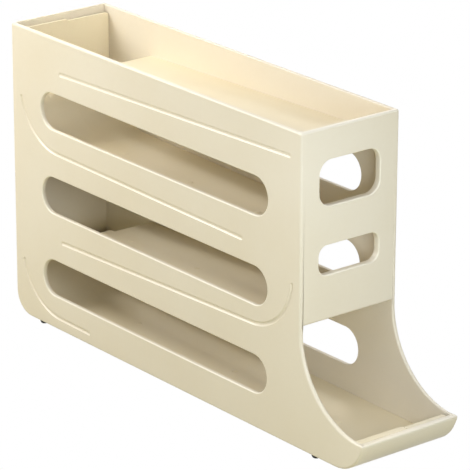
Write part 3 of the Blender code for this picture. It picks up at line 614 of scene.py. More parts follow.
class Wire:
    """An output of a node that adds Math nodes when it is used in an expression."""

    def __init__(self, graph, socket):
        self.graph = graph
        self.socket = socket

    def math(self, operation, *values):
        return self.graph.node("ShaderNodeMath", {"operation": operation}, dict(enumerate(values)))

    def __add__(self, other):
        return self.math("ADD", self, other)

    __radd__ = __add__

    def __mul__(self, other):
        return self.math("MULTIPLY", self, other)

    __rmul__ = __mul__

    def __sub__(self, other):
        return self.math("SUBTRACT", self, other)

    def __rsub__(self, other):
        return self.math("SUBTRACT", other, self)

    def least(self, other):
        return self.math("MINIMUM", self, other)

    def most(self, other):
        return self.math("MAXIMUM", self, other)

    def root(self):
        return self.math("SQRT", self)

    def beside(self, output):
        """Another output of the same node."""
        return Wire(self.graph, self.socket.node.outputs[output])


class Graph:
    """A node tree that is written with expressions."""

    def __init__(self, tree):
        self.tree = tree

    def node(self, kind, settings=None, inputs=None, output=0):
        """Add a node, set its settings first and then its sockets, and give one output."""
        node = self.tree.nodes.new(kind)
        for key, value in (settings or {}).items():
            setattr(node, key, value)
        self.feed(node, inputs or {})
        return Wire(self, node.outputs[output]) if node.outputs else None

    def feed(self, node, inputs):
        """Link or set the sockets of a node. A colour is given without its alpha."""
        for key, value in inputs.items():
            socket = node.inputs[key]
            if isinstance(value, Wire):
                self.tree.links.new(value.socket, socket)
            else:
                socket.default_value = (*value, 1.0) if socket.type == "RGBA" else value

    def place(self):
        """Place on the piece, which its patterns follow."""
        return self.node("ShaderNodeTexCoord", output="Object")

    def noise(self, place, scale, detail=2.0, roughness=0.5):
        inputs = {"Vector": place, "Scale": scale, "Detail": detail, "Roughness": roughness}
        return self.node("ShaderNodeTexNoise", None, inputs, "Fac")

    def blend(self, share, first, second):
        """Mix of two colours."""
        settings = {"data_type": "RGBA", "clamp_factor": True}
        return self.node("ShaderNodeMix", settings, {0: share, 6: first, 7: second}, 2)

    def raised(self, height, distance, strength, before=None):
        """Normal of a surface with small relief, height in shares of a distance in metres."""
        inputs = {"Height": height, "Distance": distance, "Strength": strength}
        if before:
            inputs["Normal"] = before
        return self.node("ShaderNodeBump", None, inputs)


def new_finish(name, preview):
    """Material, its shader and the graph to write on."""
    material = bpy.data.materials.new(name)
    material.use_nodes = True
    material.diffuse_color = (*preview, 1.0)
    return material, material.node_tree.nodes["Principled BSDF"], Graph(material.node_tree)


def tinted(colour, shares):
    """A colour with each channel times its share."""
    return tuple(min(1.0, c * k) for c, k in zip(colour, shares))


def moulded_plastic(name, settings):
    """Satin plastic: faint clouds in the colour, uneven polish, the fine grain of a mould and a painted
    highlight on the edges that the rim attribute marks.
    """
    found = bpy.data.materials.get(name)
    if found:
        return found
    colour = tuple(settings.colour)
    material, shader, graph = new_finish(name, colour)
    place = graph.place()
    cloud = graph.noise(place, scale=11.0, detail=3.0)
    fleck = graph.noise(place, scale=420.0)
    polish = graph.noise(place, scale=38.0, detail=4.0, roughness=0.6)
    grain = graph.noise(place, scale=2600.0, roughness=0.6)
    wave = graph.noise(place, scale=95.0, detail=1.0)
    tone = (cloud - 0.5) * 2.2 + (fleck - 0.5) * 0.35 + 0.5
    plain = graph.blend(tone, tinted(colour, CLOUD_DEEPER), tinted(colour, CLOUD_LIGHTER))
    # Painted highlight: where the rim attribute is set, the colour is lifted towards white
    painted_highlight_colour = tuple(c + (1.0 - c) * k for c, k in zip(colour, PAINTED_HIGHLIGHT_LIFT))
    rim = graph.node("ShaderNodeAttribute", {"attribute_name": "rim"}, None, "Fac")
    swell = graph.raised(wave, distance=0.00010, strength=0.5)
    graph.feed(shader, {
        "Base Color": graph.blend(rim, plain, painted_highlight_colour),
        "Roughness": (polish - 0.5) * 0.16 + (grain - 0.5) * 0.10 + settings.roughness,
        "Normal": graph.raised(grain, distance=0.000012, strength=0.6, before=swell),
        "IOR": 1.50,
    })
    return material


def pad_rubber(settings):
    """Dull black rubber with a dusty bloom."""
    colour = tuple(settings.colour)
    material, shader, graph = new_finish("pad rubber", colour)
    place = graph.place()
    dust = graph.noise(place, scale=900.0, detail=4.0, roughness=0.7)
    bloom = tuple(c * 2.2 + 0.012 for c in colour)
    graph.feed(shader, {
        "Base Color": graph.blend((dust - 0.45) * 2.5, colour, bloom),
        "Roughness": (dust - 0.5) * 0.3 + 0.78,
        "Normal": graph.raised(dust, distance=0.00003, strength=0.7),
    })
    return material


def plated_steel(settings):
    """Zinc plated steel with turning marks and a few dull spots."""
    colour = tuple(settings.colour)
    material, shader, graph = new_finish("plated steel", colour)
    place = graph.place()
    along = graph.node("ShaderNodeMapping", {"vector_type": "POINT"},
                       {"Vector": place, "Scale": (1.0, 1.0, 14.0)})
    streak = graph.noise(along, scale=700.0, detail=3.0, roughness=0.6)
    spot = graph.noise(place, scale=350.0)
    dull = tuple(c * 0.72 for c in colour)
    graph.feed(shader, {
        "Base Color": graph.blend((spot - 0.42) * 3.0, dull, colour),
        "Roughness": (streak - 0.5) * 0.25 + 0.32,
        "Normal": graph.raised(streak, distance=0.00001, strength=0.5),
        "Metallic": 1.0,
    })
    return material


# Geometry node trees

def new_tree(name, inputs):
    """Geometry node tree with named inputs: its graph and one wire for each input."""
    tree = bpy.data.node_groups.new(name, "GeometryNodeTree")
    tree.interface.new_socket("Geometry", in_out="INPUT", socket_type="NodeSocketGeometry")
    for label, kind in inputs:
        tree.interface.new_socket(label, in_out="INPUT", socket_type="NodeSocket" + kind)
    tree.interface.new_socket("Geometry", in_out="OUTPUT", socket_type="NodeSocketGeometry")
    graph = Graph(tree)
    node = tree.nodes.new("NodeGroupInput")
    return graph, {socket.name: Wire(graph, socket) for socket in node.outputs if socket.name}


def closing(graph, geometry, material):
    """End of a tree: real geometry with its material."""
    geometry = graph.node("GeometryNodeRealizeInstances", None, {"Geometry": geometry})
    geometry = graph.node("GeometryNodeSetMaterial", None, {"Geometry": geometry, "Material": material})
    graph.node("NodeGroupOutput", None, {"Geometry": geometry})
    return graph.tree


def plate_tree():
    """Strip of one width along X that follows a path, with round corners at both ends."""
    graph, given = new_tree("Strip along a path", (("Width", "Float"), ("Corner", "Float"),
                                                   ("Finish", "Material")))
    curve = graph.node("GeometryNodeMeshToCurve", None, {"Mesh": given["Geometry"]})
    along = graph.node("GeometryNodeSplineParameter", output="Length")
    whole = graph.node("GeometryNodeSplineLength", output="Length")
    stored = graph.node("GeometryNodeStoreNamedAttribute", {"data_type": "FLOAT", "domain": "POINT"},
                        {"Geometry": curve, "Name": "reach", "Value": along.least(whole - along)})
    edges = graph.node("GeometryNodeCurveToMesh", None, {"Curve": stored})
    across = graph.node("ShaderNodeCombineXYZ", None, {"X": given["Width"]})
    strip = graph.node("GeometryNodeExtrudeMesh", {"mode": "EDGES"},
                       {"Mesh": edges, "Offset": across, "Offset Scale": 1.0})
    far = strip.beside("Top")
    reach = graph.node("GeometryNodeInputNamedAttribute", {"data_type": "FLOAT"}, {"Name": "reach"},
                       "Attribute")
    corner = given["Corner"]
    left = (corner - reach).most(0.0)
    cut = corner - (corner * corner - left * left).most(0.0).root()
    shift = graph.node("ShaderNodeCombineXYZ", None, {"X": cut * (1.0 - far * 2.0)})
    shaped = graph.node("GeometryNodeSetPosition", None, {"Geometry": strip, "Offset": shift})
    plain = graph.node("GeometryNodeRemoveAttribute", None, {"Geometry": shaped, "Name": "reach"})
    return closing(graph, plain, given["Finish"])


def fittings_tree():
    """One copy of a fitting at each point, each turned about its own axis."""
    graph, given = new_tree("Fittings at points", (("Fitting", "Object"), ("Axis", "Vector"),
                                                   ("Finish", "Material")))
    shape = graph.node("GeometryNodeObjectInfo", None, {"Object": given["Fitting"]}, "Geometry")
    turn = graph.node("FunctionNodeRandomValue", {"data_type": "FLOAT"},
                      {2: 0.0, 3: math.tau, "Seed": 7}, 1)
    spin = graph.node("ShaderNodeVectorMath", {"operation": "SCALE"},
                      {0: given["Axis"], "Scale": turn})
    copies = graph.node("GeometryNodeInstanceOnPoints", None,
                        {"Points": given["Geometry"], "Instance": shape, "Rotation": spin})
    return closing(graph, copies, given["Finish"])


def grown(name, points, edges, tree, values):
    """Points and edges with a tree on them, and the values of its named inputs."""
    mesh = bpy.data.meshes.new(name)
    mesh.from_pydata([in_place(*point) for point in points], edges, [])
    piece = linked(name, mesh)
    modifier = piece.modifiers.new(tree.name, "NODES")
    modifier.node_group = tree
    sockets = {item.name: item.identifier for item in tree.interface.items_tree
               if item.in_out == "INPUT"}
    for label, value in values.items():
        modifier[sockets[label]] = value
    return piece


def strips(name, lines, width, thickness, corner, edge, material, ends=((), 0.0)):
    """Plates along paths: each line is (x of its left edge, points in the profile).

    Ends are the plan outlines that are cut off, and the height from which they are.
    """
    points = []
    edges = []
    for x, path in lines:
        start = len(points)
        points += [(x, y, z) for y, z in path]
        edges += [(start + i, start + i + 1) for i in range(len(path) - 1)]
    tree = bpy.data.node_groups.get("Strip along a path") or plate_tree()
    piece = grown(name, points, edges, tree, {"Width": width, "Corner": corner, "Finish": material})
    solid = piece.modifiers.new("thickness", "SOLIDIFY")
    solid.thickness = thickness
    solid.offset = 0.0
    solid.use_even_offset = True
    return settled(trimmed(baked(piece), *ends), edge)


def fittings(name, moulding, places, material, slot, nodes, axis=(0.0, 0.0, 1.0)):
    """Copies of one fitting at several places, as one plain mesh that stands for its solids."""
    fitting = moulding.finish("fitting", material)
    tree = bpy.data.node_groups.get("Fittings at points") or fittings_tree()
    values = {"Fitting": fitting, "Axis": axis, "Finish": material}
    piece = baked(grown(name, places, [], tree, values))
    bpy.data.objects.remove(fitting, do_unlink=True)
    fitted(settled(piece), slot, *nodes)


# Settings

def a_length(name, description, default, low, high):
    """Setting for a size in metres, with its limits."""
    return FloatProperty(name=name, description=description, default=default, min=low, max=high,
                         unit="LENGTH")


def a_colour(name, description, default):
    """Setting for a colour."""
    return FloatVectorProperty(name=name, description=description, default=default,
                               min=0.0, max=1.0, subtype="COLOR")


def a_share(name, description, default):
    """Setting for a number from 0 to 1."""
    return FloatProperty(name=name, description=description, default=default, min=0.0, max=1.0,
                         subtype="FACTOR")


def a_power(name, light, default):
    """Setting for the power of one light, in watts."""
    return FloatProperty(name=name, description="Power of the " + light, default=default,
                         min=0.0, max=100.0, unit="POWER")


class ShellSettings(bpy.types.PropertyGroup):
    """Moulded panels."""

    edge_radius: a_length("Edge round", "Round of the outer edges", 0.0016, 0.0002, 0.0030)
    inner_radius: a_length("Inner edge round", "Round of the inner edges", 0.0010, 0.0002, 0.0020)
    lip_radius: a_length("Lip round", "Round of the lip's upper edge", 0.0010, 0.0002, 0.0020)
    hole_radius: a_length("Hole round", "Round of the slots and windows", 0.0009, 0.0002, 0.0025)
    groove_width: a_length("Flow line width", "Width of the engraved lines", 0.0030, 0.0020, 0.0045)
    groove_floor: a_length("Flow line floor", "Width of their flat floor", 0.0013, 0.0005, 0.0018)
    groove_depth: a_length("Flow line depth", "Depth of the engraved lines", 0.0008, 0.0004, 0.0015)
    colour: a_colour("Colour", "Colour of the panels", (0.825, 0.750, 0.605))
    roughness: a_share("Roughness", "Roughness of the panels", 0.35)


class RampSettings(bpy.types.PropertyGroup):
    """Plates of the four ramps."""

    corner: a_length("Corner round", "Round of a plate's corners in plan", 0.0024, 0.0, 0.0100)
    edge: a_length("Edge round", "Round of a plate's edges", 0.0004, 0.0001, 0.0007)
    colour: a_colour("Colour", "Colour of the ramps", (0.815, 0.720, 0.520))
    roughness: a_share("Roughness", "Roughness of the ramps", 0.42)


class FittingSettings(bpy.types.PropertyGroup):
    """Rivets and screws."""

    dome: a_length("Rivet dome", "Rise of a rivet's head", 0.0005, 0.0001, 0.0010)
    cross: a_length("Cross recess", "Reach of a screw's cross recess", 0.0016, 0.0005, 0.0022)
    colour: a_colour("Steel colour", "Colour of the screws", (0.62, 0.62, 0.60))


class FootSettings(bpy.types.PropertyGroup):
    """Rubber pads."""

    colour: a_colour("Rubber colour", "Colour of the feet", (0.022, 0.022, 0.024))


class StageSettings(bpy.types.PropertyGroup):
    """Floor, light and camera."""

    floor: a_colour("Floor colour", "Colour of the floor", (0.46, 0.42, 0.20))
    corner: a_power("Corner light", "light at the rear corner", 3.0)
    near: a_power("Near light", "small light by the tray", 1.0)
    edge: a_power("Edge light", "light beside the front", 0.40)
    fill: a_power("Fill light", "cool light at the right", 0.75)
    inside: a_power("Inner light", "beam into the open top", 0.030)
    above: a_power("Overhead light", "light above the front", 0.9)
    top: a_power("Top light", "light above and behind", 3.0)
    rim: a_power("Rim light", "strip that lights the edges", 3.5)
    sky: FloatProperty(name="Sky", description="Brightness of the light all round",
                       default=0.30, min=0.0, max=3.0)
    lens: FloatProperty(name="Lens", description="Focal length in millimetres",
                        default=244.2, min=10.0, max=500.0)


# Pieces

def shell_finish(context):
    return moulded_plastic("ivory plastic", context.scene.dispenser_shell)


def ramp_finish(context):
    return moulded_plastic("ramp plastic", context.scene.dispenser_ramps)


def middle_of(node):
    """Centre of a node's box."""
    low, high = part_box(node)
    return (low + high) / 2


def shell_piece(context, moulding, node):
    """Finish a panel of the shell, which stands for one solid."""
    fitted(moulding.finish(node + "_moulding", shell_finish(context)), "shell", node)


def quarter(steps=EDGE_STEPS):
    """(drop, reach) of a quarter round, from its flat face to its wall."""
    angles = [math.pi / 2 * i / steps for i in range(steps + 1)]
    return [(1 - math.cos(a), 1 - math.sin(a)) for a in angles]


def hole_rings(box, outer_round, depth, place):
    """Rings down a hole with eased edges: place puts an outline at one depth."""
    outline = rounded_box(*box)
    # The rings of the outer round carry a painted highlight that pales the rim of the hole
    rings = [place(inset(outline, -outer_round * reach), outer_round * drop, rim)
             for (drop, reach), rim in zip(quarter(), HOLE_PAINTED_HIGHLIGHT)]
    rings += [place(inset(outline, -FINE_ROUND * reach), depth - FINE_ROUND * drop)
              for drop, reach in reversed(quarter(2))]
    return rings


def side_edge(moulding, settings, hand):
    """Eased edge of a side panel, as rings from its outer face to its inner face."""
    outline = side_outline(settings)
    edge = settings.edge_radius
    tip = (-LIP_REACH, LIP_HEIGHT)
    outer = [edge + (TIP_SHARE * settings.lip_radius - edge) * eased(math.dist(point, tip), *TIP_BLEND)
             for point in outline]
    inner = inner_rounds(outline, settings)
    rings = []
    for rounds, face, way, steps in ((outer, HALF_WIDTH, -1, quarter()),
                                     (inner, MEETING_X, 1, reversed(quarter()))):
        for drop, reach in steps:
            narrower = inset(outline, [size * reach for size in rounds])
            rings.append(moulding.ring([(hand * (face + way * size * drop), y, z)
                                        for (y, z), size in zip(narrower, rounds)]))
    # Painted highlight on the rounds at the front of the panel's top edge
    for ring in rings[1:-1]:
        for (y, z), vert in zip(outline, ring):
            if y < CROSS_SKIN + CORNER_GAP and z > SHELL_HEIGHT - PAINTED_HIGHLIGHT_REACH * edge:
                vert[moulding.rim] = PAINTED_EDGE_HIGHLIGHT
    return rings


def flow_line(moulding, settings, path, place):
    """Engraved line along a path: its outer loop, which the face of the panel leaves open."""
    width = settings.groove_width
    level = settings.groove_floor
    depth = settings.groove_depth
    soft = GROOVE_SOFTNESS
    groove = [place(ribbon(path, breadth), drop) for breadth, drop in
              ((width + 2 * soft, 0.0), (width, soft / 2), (level + soft, depth - soft / 2),
               (level - soft, depth))]
    moulding.bridge(*groove)
    moulding.fill(groove[-1])
    return groove[0]


def screw_boss(moulding, x, z, hand):
    """Post inside a side panel that takes a screw of the back panel."""
    nose = x - hand * BOSS_REACH
    root = hand * (MEETING_X + FIT_GAP)
    section = rounded_box((min(nose, root), z - BOSS_REACH), (max(nose, root), z + BOSS_REACH),
                          BOSS_CORNER, EDGE_STEPS)
    face = BACK_INSIDE - FIT_GAP
    moulding.bar([moulding.front_ring(section, y) for y in (face - BOSS_LENGTH, face)])


class DISPENSER_OT_side_panels(bpy.types.Operator):
    """Make the two side panels with their slots and flow lines"""

    bl_idname = "dispenser.side_panels"
    bl_label = "Side panels"

    def panel(self, context, name, hand):
        settings = context.scene.dispenser_shell
        moulding = Moulding()

        def place(outline, depth, rim=0.0):
            return moulding.side_ring(outline, hand * (HALF_WIDTH - depth), rim)

        edge = side_edge(moulding, settings, hand)
        moulding.bridge(*edge)
        outer = [edge[0]]
        inner = [edge[-1]]
        for slot in SLOT_BOXES:
            wall = hole_rings(slot, settings.hole_radius, HALF_WIDTH - MEETING_X, place)
            moulding.hole(wall, outer, inner)
        for tier in RAMP_HEIGHTS:
            outer.append(flow_line(moulding, settings, rail_path(tier, hand), place))
        moulding.fill(*outer)
        moulding.fill(*inner)
        for x, z in boss_places(hand):
            screw_boss(moulding, x, z, hand)
        shell_piece(context, moulding, name)

    def execute(self, context):
        for hand, side in SIDES:
            self.panel(context, f"{side}_side_panel", hand)
        return {"FINISHED"}


def boss_places(hand):
    """Centres, in (x, z), of the back panel's screws on one side."""
    middles = [middle_of(f"back_panel_screw_{number}") for number in ((1, 2) if hand < 0 else (3, 4))]
    return [(middle.x, middle.z - UNDERSIDE) for middle in middles]


class DISPENSER_OT_front_panel(bpy.types.Operator):
    """Make the upright front panel with its two windows"""

    bl_idname = "dispenser.front_panel"
    bl_label = "Front panel"

    def execute(self, context):
        settings = context.scene.dispenser_shell
        moulding = Moulding()
        shoulder = RAMP_HEIGHTS["top"][0] - PLATE / 2
        seam = (RIM_DEPTH, (FRONT_PANEL_SILL + shoulder) / 2)
        corners = [seam, (RIM_DEPTH, FRONT_PANEL_SILL), (0.0, FRONT_PANEL_SILL), (0.0, SHELL_HEIGHT),
                   (CROSS_SKIN, SHELL_HEIGHT), (CROSS_SKIN, shoulder), (RIM_DEPTH, shoulder), seam]
        edge = settings.edge_radius
        soft = settings.inner_radius
        outline = filleted(corners, [soft, edge, edge, soft / 2, soft / 2, soft / 2])[1:-1]
        front = 2 * (EDGE_STEPS + 1) - 1    # the last point of the second round
        outer = []
        inner = []
        for window in WINDOW_BOXES:
            wall = hole_rings(window, settings.hole_radius, RIM_DEPTH, moulding.front_ring)
            moulding.hole(wall, outer, inner)
        # The top edge, down to a share of its round, gets the painted highlight
        moulding.prism(outline, ((front, outer), (len(outline) - 1, inner)),
                       SHELL_HEIGHT - PAINTED_HIGHLIGHT_REACH * edge)
        shell_piece(context, moulding, "front_panel")
        return {"FINISHED"}


class DISPENSER_OT_back_panel(bpy.types.Operator):
    """Make the back panel, which turns round the heel, with its screw recesses"""

    bl_idname = "dispenser.back_panel"
    bl_label = "Back panel"

    def execute(self, context):
        settings = context.scene.dispenser_shell
        moulding = Moulding()
        centre = (BODY_DEPTH - HEEL_RADIUS, HEEL_RADIUS)
        lap_y = BODY_DEPTH - HEEL_RADIUS - BASE_LAP
        top = filleted([(BACK_INSIDE, HEEL_RADIUS), (BACK_INSIDE, SHELL_HEIGHT),
                        (BODY_DEPTH, SHELL_HEIGHT), (BODY_DEPTH, HEEL_RADIUS)],
                       [settings.inner_radius / 2, settings.edge_radius])[1:]
        heel = arc(centre, HEEL_RADIUS, 0, -90)
        lap = [(lap_y, 0.0), (lap_y, LAP_LEVEL), (lap_y + BASE_LAP, LAP_LEVEL)]
        bend = arc(centre, HEEL_RADIUS - CROSS_SKIN, -90, 0)
        outline = top[:-1] + heel + lap + bend
        floor = BODY_DEPTH - RECESS_DEPTH
        steps = ((RECESS_RADIUS + RECESS_BEVEL, BODY_DEPTH), (RECESS_RADIUS, BODY_DEPTH - RECESS_BEVEL),
                 (RECESS_RADIUS, floor), (SCREW_HOLE_RADIUS, floor),
                 (SCREW_HOLE_RADIUS, BACK_INSIDE))
        outer = []
        inner = []
        for place in boss_places(-1) + boss_places(1):
            recess = [moulding.front_ring(circle(place, radius), y) for radius, y in steps]
            moulding.hole(recess, outer, inner)
        moulding.prism(outline, ((len(top) - 2, outer), (len(outline) - 1, inner)))
        shell_piece(context, moulding, "back_panel")
        return {"FINISHED"}


class DISPENSER_OT_front_lip(bpy.types.Operator):
    """Make the low curved wall of the tray"""

    bl_idname = "dispenser.front_lip"
    bl_label = "Front lip"

    def execute(self, context):
        settings = context.scene.dispenser_shell
        moulding = Moulding()
        outer = lip_corner(LIP_CORNER_RADIUS, LIP_HEIGHT)
        rim_z = LIP_HEIGHT - RIM_WIDTH
        inner = lip_corner(LIP_CORNER_RADIUS - RIM_WIDTH, rim_z)
        edge = filleted([outer[-2], outer[-1], (LIP_INSIDE, LIP_HEIGHT), (LIP_INSIDE, rim_z)],
                        [settings.lip_radius, FINE_ROUND])
        centre_y = lip_centre()[0]
        outline = [(centre_y + BASE_LAP, 0.0)] + outer[:-1] + edge[1:] + inner[::-1]
        outline += [(centre_y, LAP_LEVEL), (centre_y + BASE_LAP, LAP_LEVEL)]
        moulding.prism(outline)
        shell_piece(context, moulding, "front_lip")
        return {"FINISHED"}


class DISPENSER_OT_base_panel(bpy.types.Operator):
    """Give the base panel its moulded finish"""

    bl_idname = "dispenser.base_panel"
    bl_label = "Base panel"

    def execute(self, context):
        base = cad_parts["base_panel"]
        finish = shell_finish(context)
        if not base.material_slots:
            base.data.materials.append(finish)
        for holder in base.material_slots:
            holder.material = finish
        return {"FINISHED"}


class DISPENSER_OT_ramps(bpy.types.Operator):
    """Make the eight half plates of the ramps and the rails that carry them"""

    bl_idname = "dispenser.ramps"
    bl_label = "Ramps and rails"

    def execute(self, context):
        settings = context.scene.dispenser_ramps
        rail_side = MEETING_X + FIT_GAP
        drop = PLATE / 2 + FIT_GAP + RAIL_THICKNESS / 2
        lines = []
        for tier in RAMP_HEIGHTS:
            corner = settings.corner if tier in ("second", "third") else SMALL_CORNER
            carrying = ramp_path(tier)[1]
            for hand, side in SIDES:
                low, high = (-INNER_HALF, LAP_HIGH) if hand < 0 else (LAP_LOW, INNER_HALF)
                path = dense_ends(half_path(tier, hand), corner)
                name = f"{tier}_ramp_{side}"
                plate = strips(name + "_plate", [(low, path)], high - low, PLATE, corner,
                               settings.edge, ramp_finish(context), plate_ends(tier, hand))
                fitted(plate, "ramp", name)
                line = clipped(offset_open(rail_path(tier, hand), -carrying * drop), 0,
                               RIM_DEPTH + FIT_GAP + RAIL_THICKNESS / 2, False)
                lines.append((-rail_side if hand < 0 else rail_side - RAIL_REACH,
                              dense_ends(line, SMALL_CORNER)))
        rails = strips("ramp_rails", lines, RAIL_REACH, RAIL_THICKNESS, SMALL_CORNER, RAIL_EDGE,
                       shell_finish(context))
        fitted(rails, "shell")
        return {"FINISHED"}


class DISPENSER_OT_rivets(bpy.types.Operator):
    """Put the rivets through the laps of the ramps"""

    bl_idname = "dispenser.rivets"
    bl_label = "Rivets"

    def execute(self, context):
        settings = context.scene.dispenser_fittings
        moulding = Moulding(about_zero)
        head = PLATE / 2
        tail = -PLATE / 2 - LAP_STEP
        profile = [(tail + drop, radius) for drop, radius in RIVET_TAIL]
        profile += [(tail, RIVET_SHANK), (head, RIVET_SHANK), (head, RIVET_HEAD)]
        profile += [(head + settings.dome * share, radius) for share, radius in RIVET_DOME]
        moulding.turned(profile)
        places = [(RIVET_X, y, z) for tier in RAMP_HEIGHTS for y, z in rivet_places(tier)]
        nodes = [f"{tier}_ramp_rivet_{number}" for tier in RAMP_HEIGHTS for number in (1, 2, 3)]
        fittings("ramp_rivets", moulding, places, ramp_finish(context), "ramp", nodes)
        return {"FINISHED"}


def cross(reach, wing):
    """Outline of a cross recess: the reach of its arms and half their width."""
    corners = []
    for turn in range(4):
        c = round(math.cos(math.pi / 2 * turn))
        s = round(math.sin(math.pi / 2 * turn))
        corners += [(a * c - b * s, a * s + b * c)
                    for a, b in ((wing, -wing), (reach, -wing), (reach, wing))]
    return corners


class DISPENSER_OT_screws(bpy.types.Operator):
    """Put the cross recess screws in the back panel"""

    bl_idname = "dispenser.screws"
    bl_label = "Screws"

    def execute(self, context):
        settings = context.scene.dispenser_fittings
        moulding = Moulding(about_zero)
        turned = [moulding.front_ring(circle((0.0, 0.0), radius), y) for y, radius in SCREW_PROFILE]
        moulding.bridge(*turned)
        recess = [moulding.front_ring(cross(settings.cross, CROSS_WING), 0.0),
                  moulding.front_ring(cross(*CROSS_FLOOR), -CROSS_DEPTH)]
        moulding.bridge(*recess)
        moulding.cap(turned[0], recess[-1])
        moulding.fill(turned[-1], recess[0])
        places = [(x, BODY_DEPTH, z) for x, z in boss_places(-1) + boss_places(1)]
        nodes = [f"back_panel_screw_{number}" for number in (1, 2, 3, 4)]
        fittings("back_panel_screws", moulding, places, plated_steel(settings), "steel", nodes,
                 axis=(0.0, 1.0, 0.0))
        return {"FINISHED"}


class DISPENSER_OT_feet(bpy.types.Operator):
    """Stick the rubber pads under the box"""

    bl_idname = "dispenser.feet"
    bl_label = "Feet"

    def execute(self, context):
        moulding = Moulding(about_zero)
        dome = [((UNDERSIDE - FIT_GAP) * rise - FIT_GAP, PAD_RADIUS / 2 * (1 + out))
                for out, rise in arc((0.0, 0.0), 1, -90, 0, 6)]
        moulding.turned([(-UNDERSIDE, 0.0), *dome, *PAD_TOP])
        nodes = ["front_left_foot", "front_right_foot", "rear_left_foot", "rear_right_foot"]
        places = [(middle.x, middle.y - FRONT_FACE, 0.0) for middle in map(middle_of, nodes)]
        rubber = pad_rubber(context.scene.dispenser_feet)
        fittings("rubber_feet", moulding, places, rubber, "rubber", nodes)
        return {"FINISHED"}


# Stage

CAMERA_PLACE = (-1.2008, -1.4997, 0.8032)
CAMERA_RIGHT = (0.7797, -0.6262, 0.0030)
CAMERA_FORWARD = (0.5889, 0.7316, -0.3434)
CAMERA_SHIFT = (0.0027, -0.0011)
FLOOR_RADIUS = 6.0

# Each lamp: setting with its power, place, the point that it looks at, size, colour, spread in degrees
LAMPS = (
    ("corner", (-0.40, 0.40, 0.50), (0.0, 0.10, 0.15), (0.30, 0.30), (1.0, 0.985, 0.965), 180),
    ("near", (-0.18, -0.45, 0.22), (-0.03, -0.14, 0.15), (0.15, 0.15), (0.82, 0.90, 1.0), 180),
    ("edge", (-0.35, -0.30, 0.55), (-0.03, -0.05, 0.14), (0.30, 0.30), (1.0, 1.0, 1.0), 180),
    ("fill", (0.50, -1.30, 0.50), (0.0, -0.10, 0.12), (0.70, 0.70), (0.865, 0.93, 1.0), 180),
    ("inside", (-0.05, -0.30, 0.50), (0.0, 0.165, 0.195), (0.08, 0.08), (1.0, 0.97, 0.89), 28),
    ("above", (0.15, -0.70, 1.20), (0.0, 0.08, 0.20), (0.40, 0.40), (1.0, 1.0, 1.0), 180),
    ("top", (0.05, 0.95, 1.25), (0.0, 0.0, 0.15), (1.40, 0.90), (1.0, 0.99, 0.975), 180),
    ("rim", (0.80, 0.42, 1.00), (0.0, 0.0, 0.15), (0.50, 0.30), (1.0, 0.99, 0.97), 180),
)


def soft_light(name, place, target, size, colour, spread, power):
    """Area light that looks at a point."""
    data = bpy.data.lights.new(name, "AREA")
    data.shape = "RECTANGLE"
    data.size, data.size_y = size
    data.energy = power
    data.color = colour
    data.spread = math.radians(spread)
    light = linked(name, data)
    light.location = place
    light.visible_camera = False
    aim = Vector(target) - Vector(place)
    light.rotation_euler = aim.to_track_quat("-Z", "Y").to_euler()


def seen_directly(graph):
    """1 on what the camera sees straight, in a mirror or through glass."""
    ray = graph.node("ShaderNodeLightPath", output="Is Camera Ray")
    return ray.most(ray.beside("Is Glossy Ray")).most(ray.beside("Is Transmission Ray"))


class DISPENSER_OT_stage(bpy.types.Operator):
    """Lay the pale floor, hang the lights and set the camera"""

    bl_idname = "dispenser.stage"
    bl_label = "Stage"

    def floor(self, settings):
        shape = bmesh.new()
        bmesh.ops.create_circle(shape, cap_ends=True, segments=64, radius=FLOOR_RADIUS)
        mesh = bpy.data.meshes.new("studio_floor")
        shape.to_mesh(mesh)
        shape.free()
        colour = tuple(settings.floor)
        material, shader, graph = new_finish("studio floor", colour)
        graph.feed(shader, {"Base Color": colour, "Roughness": 0.9, "Specular IOR Level": 0.1})
        white = graph.node("ShaderNodeEmission", None, {"Color": (1.0, 1.0, 1.0), "Strength": 1.0})
        mixed = graph.node("ShaderNodeMixShader", None,
                           {0: seen_directly(graph), 1: Wire(graph, shader.outputs[0]), 2: white})
        output = next(node for node in material.node_tree.nodes if node.type == "OUTPUT_MATERIAL")
        graph.feed(output, {"Surface": mixed})
        mesh.materials.append(material)
        return linked("studio_floor", mesh)

    def sky(self, settings):
        world = bpy.data.worlds.new("studio sky")
        world.use_nodes = True
        graph = Graph(world.node_tree)
        shown = seen_directly(graph)
        graph.feed(world.node_tree.nodes["Background"], {
            "Color": graph.blend(shown, (0.98, 0.99, 1.0), (1.0, 1.0, 1.0)),
            "Strength": shown * (1.0 - settings.sky) + settings.sky,
        })
        bpy.context.scene.world = world

    def camera(self, settings):
        data = bpy.data.cameras.new("photograph")
        data.lens = settings.lens
        data.sensor_width = 36.0
        data.shift_x, data.shift_y = CAMERA_SHIFT
        data.clip_end = 100.0
        camera = linked("photograph", data)
        right = Vector(CAMERA_RIGHT).normalized()
        forward = Vector(CAMERA_FORWARD)
        forward = (forward - right * forward.dot(right)).normalized()
        turn = Matrix((right, right.cross(forward), -forward)).transposed()
        camera.matrix_world = Matrix.Translation(CAMERA_PLACE) @ turn.to_4x4()
        bpy.context.scene.camera = camera

    def execute(self, context):
        settings = context.scene.dispenser_stage
        self.floor(settings)
        self.sky(settings)
        for lamp in LAMPS:
            soft_light(*lamp, getattr(settings, lamp[0]))
        self.camera(settings)
        context.scene.view_settings.view_transform = "Standard"
        return {"FINISHED"}


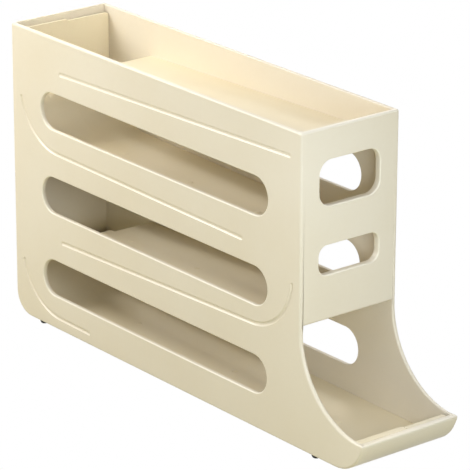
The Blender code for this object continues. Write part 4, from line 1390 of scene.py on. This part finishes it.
class DISPENSER_PT_sidebar(bpy.types.Panel):
    """Sizes, finishes and making of the dispenser"""

    bl_idname = "DISPENSER_PT_sidebar"
    bl_label = "Dispenser"
    bl_space_type = "VIEW_3D"
    bl_region_type = "UI"
    bl_category = "Dispenser"

    def draw(self, context):
        layout = self.layout
        for label, holder, _, operators in GROUPS:
            box = layout.box()
            box.label(text=label)
            settings = getattr(context.scene, holder)
            for name in settings.bl_rna.properties.keys():
                if name not in ("rna_type", "name"):
                    box.prop(settings, name)
            for operator in operators:
                box.operator(operator.bl_idname)


GROUPS = (
    ("Shell", "dispenser_shell", ShellSettings,
     (DISPENSER_OT_side_panels, DISPENSER_OT_front_panel, DISPENSER_OT_back_panel,
      DISPENSER_OT_front_lip, DISPENSER_OT_base_panel)),
    ("Ramps", "dispenser_ramps", RampSettings, (DISPENSER_OT_ramps,)),
    ("Fittings", "dispenser_fittings", FittingSettings,
     (DISPENSER_OT_rivets, DISPENSER_OT_screws)),
    ("Feet", "dispenser_feet", FootSettings, (DISPENSER_OT_feet,)),
    ("Stage", "dispenser_stage", StageSettings, (DISPENSER_OT_stage,)),
)
CLASSES = [kind for _, _, settings, operators in GROUPS for kind in (settings, *operators)]
CLASSES.append(DISPENSER_PT_sidebar)


def register():
    for kind in CLASSES:
        bpy.utils.register_class(kind)
    for _, holder, settings, _ in GROUPS:
        setattr(bpy.types.Scene, holder, PointerProperty(type=settings))


def unregister():
    for _, holder, _, _ in GROUPS:
        delattr(bpy.types.Scene, holder)
    for kind in reversed(CLASSES):
        bpy.utils.unregister_class(kind)


def main():
    register()
    bpy.ops.dispenser.side_panels()
    bpy.ops.dispenser.front_panel()
    bpy.ops.dispenser.back_panel()
    bpy.ops.dispenser.front_lip()
    bpy.ops.dispenser.base_panel()
    bpy.ops.dispenser.ramps()
    bpy.ops.dispenser.rivets()
    bpy.ops.dispenser.screws()
    bpy.ops.dispenser.feet()
    bpy.ops.dispenser.stage()


if __name__ == "__main__":
    main()
